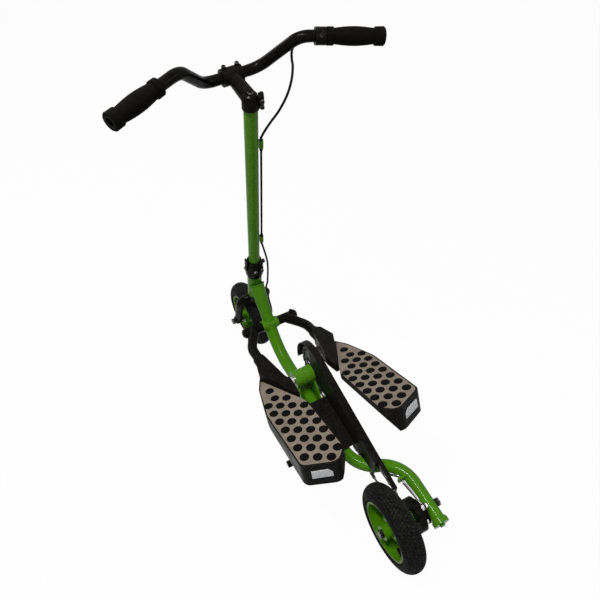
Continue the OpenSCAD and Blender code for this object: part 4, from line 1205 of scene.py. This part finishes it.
@dataclass
class BrakeLine(SubAssembly):
    """Brake cable from the lever to the rear brake, with its ferrules, ties and clamp."""
    cable_r: float = 2.5
    cable_start: float = 9.2
    curve_steps: int = 6
    guide_x: float = -8.28
    guide_y: float = -17.76
    guide_low: float = 373
    guide_high: float = 668
    guide_len: float = 18
    ferrule: Profile = ((2.6, 0), (3.7, 0), (3.7, 5), (3.2, 6), (3.2, 9), (2.6, 9.5))
    ferrule_gap: float = 0.1
    blend_high: float = 362
    blend_low: float = 184
    run_y: float = -4
    run_z: float = 98.2
    tie_places: Pair = (310, 225)
    tie_w: float = 4.6
    tie_inner: float = 0.15
    tie_outer: float = 1.4
    tie_steps: int = 72
    wire_y: float = -74
    wire_start: Pair = (86, 118)
    wire_end: Pair = (-6, 135)
    barrel_gap: float = 17.5
    barrel: Profile = ((3.2, 0), (5.4, 0.8), (5.6, 5), (4.6, 6), (4.4, 9), (4.0, 30), (3.0, 52), (1.9, 58))
    wire_washer: Triple = (3, 7.4, 1.2)
    wire_washer_out: float = 1.9
    wire_nuts: tuple[Nut, ...] = (Nut(1, 3, (6.4, 4.4), 2.6), Nut(-1, 3, (5.6, 4.4)))
    arm_nut: Nut = Nut(1, 1.8, (6.6, 4.6), 3)
    arm_nut_spot: Pair = (-26, 112)
    end_direction: Triple = (-6, -4, 3)
    end_sleeve: Profile = ((2.6, -13), (3.6, -12.6), (3.7, -2), (3.2, -0.6), (2.6, -0.4))

    def routes(self) -> tuple[list[Vector], list[Vector]]:
        """Listed points of the cable.

        Returns:
            Points in the steering frame, and points in the frame of the upright bike.
        """
        x, y = self.guide_x, self.guide_y
        pivot, _, out = Cockpit(self.palette).lever_frame()
        start = pivot - out * self.cable_start
        steering = [(42, -150, 845), (54, -132, 833), (46, -117, 824), (33, -109, 815), (19, -103, 809),
                    (1, -90, 795), (-9, -75, 773), (-11, -57, 746), (-5, -41, 719), (-6, -26, 702),
                    (x, y, 692), (x, y, 687), (x, y, 600), (x, y, 490), (x, y, 400), (x, y, 372), (x, y, 366),
                    (-9, -22, 345), (-12, -29, 307), (-14, -32, 280), (-16, -32, 246), (-16, -31, 200),
                    (-15, -28, 172)]
        y, z = self.run_y, self.run_z
        upright = [(648, -22, 243), (632, -20, 212), (624, -9, 184), (614, -5, 165), (585, y, 131),
                   (541, y, 106), (492, y, z), (420, y, z), (346, y, z), (270, y, z), (206, -3, z),
                   (165, -11, 99.5), (138, -37, 99.5), (124, -58, 99.5), (112, -61, 102.5), (101, -64, 109),
                   (92, -70, 115), self._on_wire(self.wire_start)]
        return [start] + [Vector(p) for p in steering], [Vector(p) for p in upright]

    def _on_wire(self, spot: Pair) -> Vector:
        """Point in the plane of the brake's inner wire, from its x and z."""
        return Vector((spot[0], self.wire_y, spot[1]))

    def build(self) -> None:
        """Builds the line's pieces."""
        steered, parked = BIKE.steered(), BIKE.parked()
        top, low = self.routes()
        back = parked.inverted() @ steered
        form = Form()
        form.tube(smooth_path([back @ p for p in top] + low, self.curve_steps), self.cable_r)
        cable = self.loose(form, "brake_cable", parked, JACKET, Slot.BLACK)
        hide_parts("cable_top", "cable_low")
        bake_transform(cable)
        self._ferrules()
        self._ties()
        self._clamp()

    def _ferrules(self) -> None:
        """Black end sleeves at the two guides on the column."""
        form = Form()
        ends = ((self.guide_low, -1), (self.guide_low + self.guide_len, 1), (self.guide_high, -1))
        for z, side in ends:
            spot = Matrix.Translation((self.guide_x, self.guide_y, z + side * self.ferrule_gap))
            flip = Matrix.Rotation(math.pi, 4, "X") if side < 0 else Matrix()
            form.lathe(self.ferrule, spot @ flip, steps=20, closed=True)
        self.piece(form, "cable_ferrules", BIKE.steered(), Body.STEERING, BLACK, Slot.BLACK)

    def _ties(self) -> None:
        """Straps that hold the cable under the low run of the frame."""
        form = Form()
        turned = Matrix.Rotation(math.pi / 2, 4, "Z") @ Matrix.Rotation(math.pi / 2, 4, "X")
        for x in self.tie_places:
            spot = Matrix.Translation((x, 0, BIKE.low_run_z)) @ turned
            form.band(self._strap(self.tie_outer), self._strap(self.tie_inner), spot, self.tie_w)
        self.piece(form, "cable_ties", BIKE.parked(), Body.FRAME, JACKET, Slot.MOULDED)

    def _strap(self, proud: float) -> list[Vector]:
        """Taut loop round the low run's tube and the cable under it.

        Args:
            proud: Distance of the loop from what it holds.

        Returns:
            Points of the loop, evenly spaced by angle.
        """
        rays = [Vector((math.cos(a), math.sin(a))) for a in turns(self.tie_steps)]
        cable = Vector((self.run_y, self.run_z - BIKE.low_run_z))
        dots = [ray * (BIKE.arm_tube_r + proud) for ray in rays]
        dots += [cable + ray * (self.cable_r + proud) for ray in rays]
        hull = [dots[i] for i in convex_hull_2d(dots)]
        return [ray * self._reach(ray, hull) for ray in rays]

    @staticmethod
    def _reach(ray: Vector, hull: list[Vector], slack: float = 1e-6) -> float:
        """Distance from the origin to the edge of an outline.

        Args:
            ray: Direction of the way there.
            hull: Corners of the outline.
            slack: Share of an edge that a corner may be missed by.

        Returns:
            The distance.
        """
        reach = 0.0
        for p, q in zip(hull, hull[1:] + hull[:1]):
            edge = q - p
            cross = ray.x * edge.y - ray.y * edge.x
            if cross:
                along = (p.x * edge.y - p.y * edge.x) / cross
                share = (p.x * ray.y - p.y * ray.x) / cross
                if along > 0 and -slack <= share <= 1 + slack:
                    reach = max(reach, along)
        return reach

    def _clamp(self) -> None:
        """Bright barrel on the inner wire, the clamp that holds the wire, and the cable's end sleeve."""
        place = BIKE.parked()
        start, end = self._on_wire(self.wire_start), self._on_wire(self.wire_end)
        along = (end - start).normalized()
        form = Form()
        form.lathe(self.barrel, aim(start + along * self.barrel_gap, along), steps=20)
        self.piece(form, "wire_barrel", place, Body.FRAME, CHROME, Slot.STEEL)
        form = Form()
        for nut in self.wire_nuts:
            seat = end + LEFT * nut.side * self.wire_washer_out
            form.washer(aim(seat, (0, nut.side, 0)), self.wire_washer)
            form.hex_nut(nut, end)
        form.hex_nut(self.arm_nut, self._on_wire(self.arm_nut_spot))
        self.piece(form, "wire_clamp", place, Body.FRAME, CHROME, Slot.STEEL)
        form = Form()
        form.lathe(self.end_sleeve, aim(start, self.end_direction), steps=20, closed=True)
        self.piece(form, "cable_end", place, Body.FRAME, CHROME, Slot.STEEL)


@dataclass
class FrameFittings(SubAssembly):
    """Weld beads, screws of the pivot shaft, the guard's tab and screw, and the brake cover's relief."""
    head_r: float = 19.5
    join_up: float = 203.3
    join_back: float = 12
    flare_r: float = 20
    flare_len: float = 80
    pivot_ahead: float = 3
    boss_r: float = 15
    boss_least_y: float = 1
    split_x: float = 345
    bead: float = 1.9
    bead_sides: int = 8
    bead_ripple: float = 0.16
    ring_steps: int = 120
    boss_steps: int = 96
    shaft_end: float = 78
    shaft_screw: Pair = (9, 4)
    tab: Profile = ((150, 128), (172, 128), (170, 146), (165, 150), (157, 150), (152, 146))
    tab_faces: Pair = (-30.6, -27.6)
    guard_spot: Pair = (161, 141)
    guard_cup: Profile = ((3.6, 0), (7.4, 0.4), (7.6, 3), (6.6, 4.4), (3.6, 5))
    guard_cup_y: float = -27.8
    guard_screw: Pair = (3.8, 3)
    guard_screw_y: float = -22.9
    cover_face: float = -70.8
    cover_rim: Profile = ((27.5, 0), (31, 0), (31, 1.2), (30, 2), (28.5, 2), (27.5, 1.2))
    rivet: Profile = ((2.6, 0), (2.6, 1), (1.8, 1.5))
    rivet_ring: float = 22
    rivets: int = 12

    def build(self) -> None:
        """Builds the fittings."""
        self._welds()
        form = Form()
        for side in SIDES:
            spot = (BIKE.pivot_x, side * (self.shaft_end - SINK), BIKE.pivot_z)
            form.socket_screw(aim(spot, (0, side, 0)), self.shaft_screw)
        self.piece(form, "pivot_screws", BIKE.parked(), Body.FRAME, BLACK, Slot.BLACK)
        self._guard_mount()
        self._cover_relief()

    def _welds(self) -> None:
        """Weld beads at the head tube, at both sides of the pivot boss and where the rear arm starts."""
        form = Form()
        join, run = self._main_line()
        r = BIKE.arm_tube_r
        split = [Vector((self.split_x, r * math.cos(a), BIKE.low_run_z + r * math.sin(a)))
                 for a in turns(self.ring_steps)]
        bosses = [self._boss_joint(side, run) for side in SIDES]
        for line in (self._head_joint(join, run), *bosses, split):
            form.tube(line, self.bead, self.bead_sides, closed=True, ripple=self.bead_ripple)
        self.piece(form, "weld_beads", BIKE.parked(), Body.FRAME, GREEN, Slot.GREEN, crease=80)

    def _main_line(self) -> tuple[Vector, Vector]:
        """Line of the main tube from behind the head tube down to the pivot.

        Returns:
            Its start and its direction.
        """
        head = math.radians(BIKE.head_angle)
        join = Vector((BIKE.steer_x - self.join_up * math.cos(head) - self.join_back * math.sin(head), 0,
                       BIKE.steer_z + self.join_up * math.sin(head) - self.join_back * math.cos(head)))
        low = Vector((BIKE.pivot_x + self.pivot_ahead, 0, BIKE.pivot_z))
        return join, (low - join).normalized()

    def _head_joint(self, join: Vector, run: Vector, stride: float = 0.25) -> list[Vector]:
        """Line where the main tube's flared end meets the head tube.

        Args:
            join: Start of the main tube.
            run: Its direction.
            stride: Length of one step along the tube, until it leaves the head tube.

        Returns:
            Points round the joint.
        """
        head = math.radians(BIKE.head_angle)
        foot = Vector((BIKE.steer_x, 0, BIKE.steer_z))
        axis = Vector((-math.cos(head), 0, math.sin(head)))
        up = run.cross(LEFT)
        line = []
        for a in turns(self.ring_steps):
            t = 0.0
            while True:
                r = self.flare_r - (self.flare_r - BIKE.main_tube_r) * t / self.flare_len
                point = join + run * t + (LEFT * math.cos(a) + up * math.sin(a)) * r
                away = point - foot
                if (away - axis * away.dot(axis)).length >= self.head_r or t > self.flare_len:
                    break
                t += stride
            line.append(point)
        return line

    def _boss_joint(self, side: int, run: Vector) -> list[Vector]:
        """Line where the pivot boss meets the main tube.

        Args:
            side: 1 for the left, -1 for the right.
            run: Direction of the main tube.

        Returns:
            Points round the joint.
        """
        line = []
        for a in turns(self.boss_steps):
            arm = Vector((math.cos(a), 0, math.sin(a))) * self.boss_r
            off = (arm - run * arm.dot(run)).length
            y = math.sqrt(max(BIKE.main_tube_r ** 2 - off ** 2, self.boss_least_y ** 2))
            line.append(Vector((BIKE.pivot_x, side * y, BIKE.pivot_z)) + arm)
        return line

    def _guard_mount(self) -> None:
        """Tab on the rear arm and the black screw that holds the guard to it."""
        place = BIKE.parked()
        form = Form()
        form.skin([[Vector((x, y, z)) for x, z in self.tab] for y in self.tab_faces])
        self.piece(form, "guard_tab", place, Body.FRAME, BLACK, Slot.BLACK)
        form = Form()
        x, z = self.guard_spot
        form.lathe(self.guard_cup, aim((x, self.guard_cup_y, z), LEFT), steps=24)
        form.socket_screw(aim((x, self.guard_screw_y, z), LEFT), self.guard_screw)
        self.piece(form, "guard_screw", place, Body.FRAME, JACKET, Slot.MOULDED)

    def _cover_relief(self) -> None:
        """Rim and ring of rivets on the face of the rear brake's cover."""
        form = Form()
        form.lathe(self.cover_rim, aim((0, self.cover_face, 0), RIGHT), steps=64, closed=True)
        for a in turns(self.rivets):
            spot = (self.rivet_ring * math.cos(a), self.cover_face, self.rivet_ring * math.sin(a))
            form.lathe(self.rivet, aim(spot, RIGHT), steps=12)
        self.piece(form, "cover_relief", BIKE.rear_axle(), Body.FRAME, BLACK, Slot.BLACK)


@dataclass
class Drive(SubAssembly):
    """Chain pins, crank nuts and roller clips."""
    pitch: float = 12.7
    sprocket_teeth: int = 16
    ring_teeth: int = 32
    links: int = 88
    chain_y: float = 34
    pin: Profile = ((1.6, -3.6), (2.2, -3.1), (2.2, 3.1), (1.6, 3.6))
    washer_y: float = 45.8
    washer: Triple = (3, 11.5, 1.4)
    crank_nuts: tuple[Nut, ...] = (Nut(1, 47, (9.6, 3.4)), Nut(-1, 51.8, (7.4, 0.9)))
    crank_angle: float = -3
    clip: Triple = (4.4, 8.4, 1)
    clip_y: float = 66.1

    def build(self) -> None:
        """Builds the drive's pieces."""
        form = Form()
        for k in range(self.links):
            x, z = self._link(k)
            form.lathe(self.pin, aim((x, -self.chain_y, z), LEFT), steps=10)
        self.piece(form, "chain_pins", BIKE.parked(), Body.FRAME, CHAIN, Slot.CHAIN)

        place = BIKE.crank()
        form = Form()
        form.washer(aim((0, self.washer_y, 0), LEFT), self.washer)
        for nut in self.crank_nuts:
            form.hex_nut(nut)
        self.piece(form, "crank_nuts", place, Body.CRANKS, CHROME, Slot.STEEL)

        form = Form()
        turn = Matrix.Rotation(-math.radians(self.crank_angle), 4, "Y")
        for side in SIDES:
            spot = turn @ Vector((-side * BIKE.crank_r, side * self.clip_y, 0))
            form.washer(aim(spot, (0, side, 0)), self.clip)
        self.piece(form, "roller_clips", place, Body.CRANKS, STEEL, Slot.STEEL)

    def _link(self, k: int) -> Pair:
        """Place of a chain pin.

        Args:
            k: Number of the link.

        Returns:
            Its x and z in the frame of the upright bike.
        """
        small = self.pitch / (2 * math.sin(math.pi / self.sprocket_teeth))
        large = self.pitch / (2 * math.sin(math.pi / self.ring_teeth))
        rise = BIKE.crank_z - BIKE.wheel_r
        span = math.hypot(BIKE.crank_x, rise)
        tilt, gap = math.atan2(rise, BIKE.crank_x), math.asin((large - small) / span)
        run = span * math.cos(gap)
        front, back = large * (math.pi + 2 * gap), small * (math.pi - 2 * gap)
        s = k * (2 * run + front + back) / self.links
        up, down = math.pi / 2 + tilt + gap, tilt - gap - math.pi / 2
        if s < run:
            return (small * math.cos(up) + s * math.cos(tilt + gap),
                    BIKE.wheel_r + small * math.sin(up) + s * math.sin(tilt + gap))
        if s < run + front:
            a = up - (s - run) / large
            return BIKE.crank_x + large * math.cos(a), BIKE.crank_z + large * math.sin(a)
        if s < 2 * run + front:
            s -= run + front
            return (BIKE.crank_x + large * math.cos(down) - s * math.cos(tilt - gap),
                    BIKE.crank_z + large * math.sin(down) - s * math.sin(tilt - gap))
        a = down - (s - 2 * run - front) / small
        return small * math.cos(a), BIKE.wheel_r + small * math.sin(a)


@dataclass
class Platform(SubAssembly):
    """One foot platform's crowned studs and reflector prisms."""
    left: bool
    top: float = -31
    dot_r: float = 10.2
    dot_rise: float = 1
    dot_crown: Profile = ((0, -0.95), (0, 0.1), (0.7, 0.5), (2.2, 0.7), (2.6, 0.45), (3.2, 0.8), (6.2, 1.1),
                          (8.8, 1.2))
    dot_pitch: float = 31.5
    dot_side: float = 23.5
    dot_first: Pair = (226, 129)
    dot_columns: tuple[tuple[float, int], ...] = ((1.5, 7), (0, 9), (1.5, 8), (3, 6))
    tail_outer: Pair = (-484, 147)
    tail_tip: Pair = (-516, 74)
    reflector_w: float = 44
    reflector_h: float = 20
    reflector_cut: float = 9
    reflector_drop: float = 14
    reflector_face: float = 1.9
    prism: float = 2.2
    prism_rise: float = 0.55
    prism_top: Pair = (0.35, 0.65)
    prism_margin: float = 1

    @property
    def side(self) -> str:
        """Name of the side."""
        return "left" if self.left else "right"

    @property
    def body(self) -> Body:
        """Body that carries the platform."""
        return Body.LEFT_STEP if self.left else Body.RIGHT_STEP

    def build(self) -> None:
        """Builds the platform's pieces."""
        self._studs()
        self._prisms()

    def _studs(self) -> None:
        """Columns of crowned studs on the grip pad."""
        place = BIKE.platform(self.left)
        form = Form()
        crown = [(self.dot_r - inset, z) for inset, z in self.dot_crown]
        for column, (start, count) in enumerate(self.dot_columns):
            for k in range(count):
                spot = (-self.dot_first[0] - self.dot_pitch * (start + k),
                        self.dot_first[1] - self.dot_side * column, self.top + self.dot_rise)
                form.lathe(crown, Matrix.Translation(spot), steps=28)
        self.piece(form, f"{self.side}_studs", place, self.body, STUD, Slot.MOULDED)

    def _prisms(self) -> None:
        """Rows of small prisms on the face of the reflector."""
        place = BIKE.platform(self.left)
        outer, tip = Vector(self.tail_outer), Vector(self.tail_tip)
        middle = (outer + tip) / 2
        along = math.atan2(tip.y - outer.y, tip.x - outer.x)
        tail = Matrix.Translation((middle.x, middle.y, self.top - self.reflector_drop))
        corner = Matrix.Translation((-self.reflector_w / 2, -SINK, -self.reflector_h))
        local = tail @ Matrix.Rotation(along, 4, "Z") @ corner @ Matrix.Rotation(math.pi / 2, 4, "X")
        size, margin = self.prism, self.prism_margin
        levels = ((0, 1, self.reflector_face), (*self.prism_top, self.reflector_face + self.prism_rise))
        form = Form()
        for i in range(int((self.reflector_w - 2 * margin) / size)):
            for j in range(int((self.reflector_h - 2 * margin) / size)):
                x, y = margin + i * size, margin + j * size
                if x + y + 2 * size > self.reflector_w + self.reflector_h - self.reflector_cut:
                    continue
                form.skin([[local @ Vector((x + a * size, y + b * size, z))
                            for a, b in ((low, low), (high, low), (high, high), (low, high))]
                           for low, high, z in levels])
        self.piece(form, f"{self.side}_prisms", place, self.body, REFLECTOR, Slot.REFLECTOR, crease=10)


def main() -> None:
    """Builds the studio and the bike's pieces."""
    logging.basicConfig(level=logging.INFO, format="%(name)s: %(message)s")
    Studio().build()
    palette = Palette()
    palette.dress_frame()
    BrakeLine(palette).build()
    Wheel(palette, "front", Body.FRONT_WHEEL, BIKE.front_axle()).build()
    Wheel(palette, "rear", Body.REAR_WHEEL, BIKE.rear_axle()).build()
    Cockpit(palette).build()
    FrameFittings(palette).build()
    Drive(palette).build()
    for left in (True, False):
        Platform(palette, left).build()


if __name__ == "__main__":
    main()
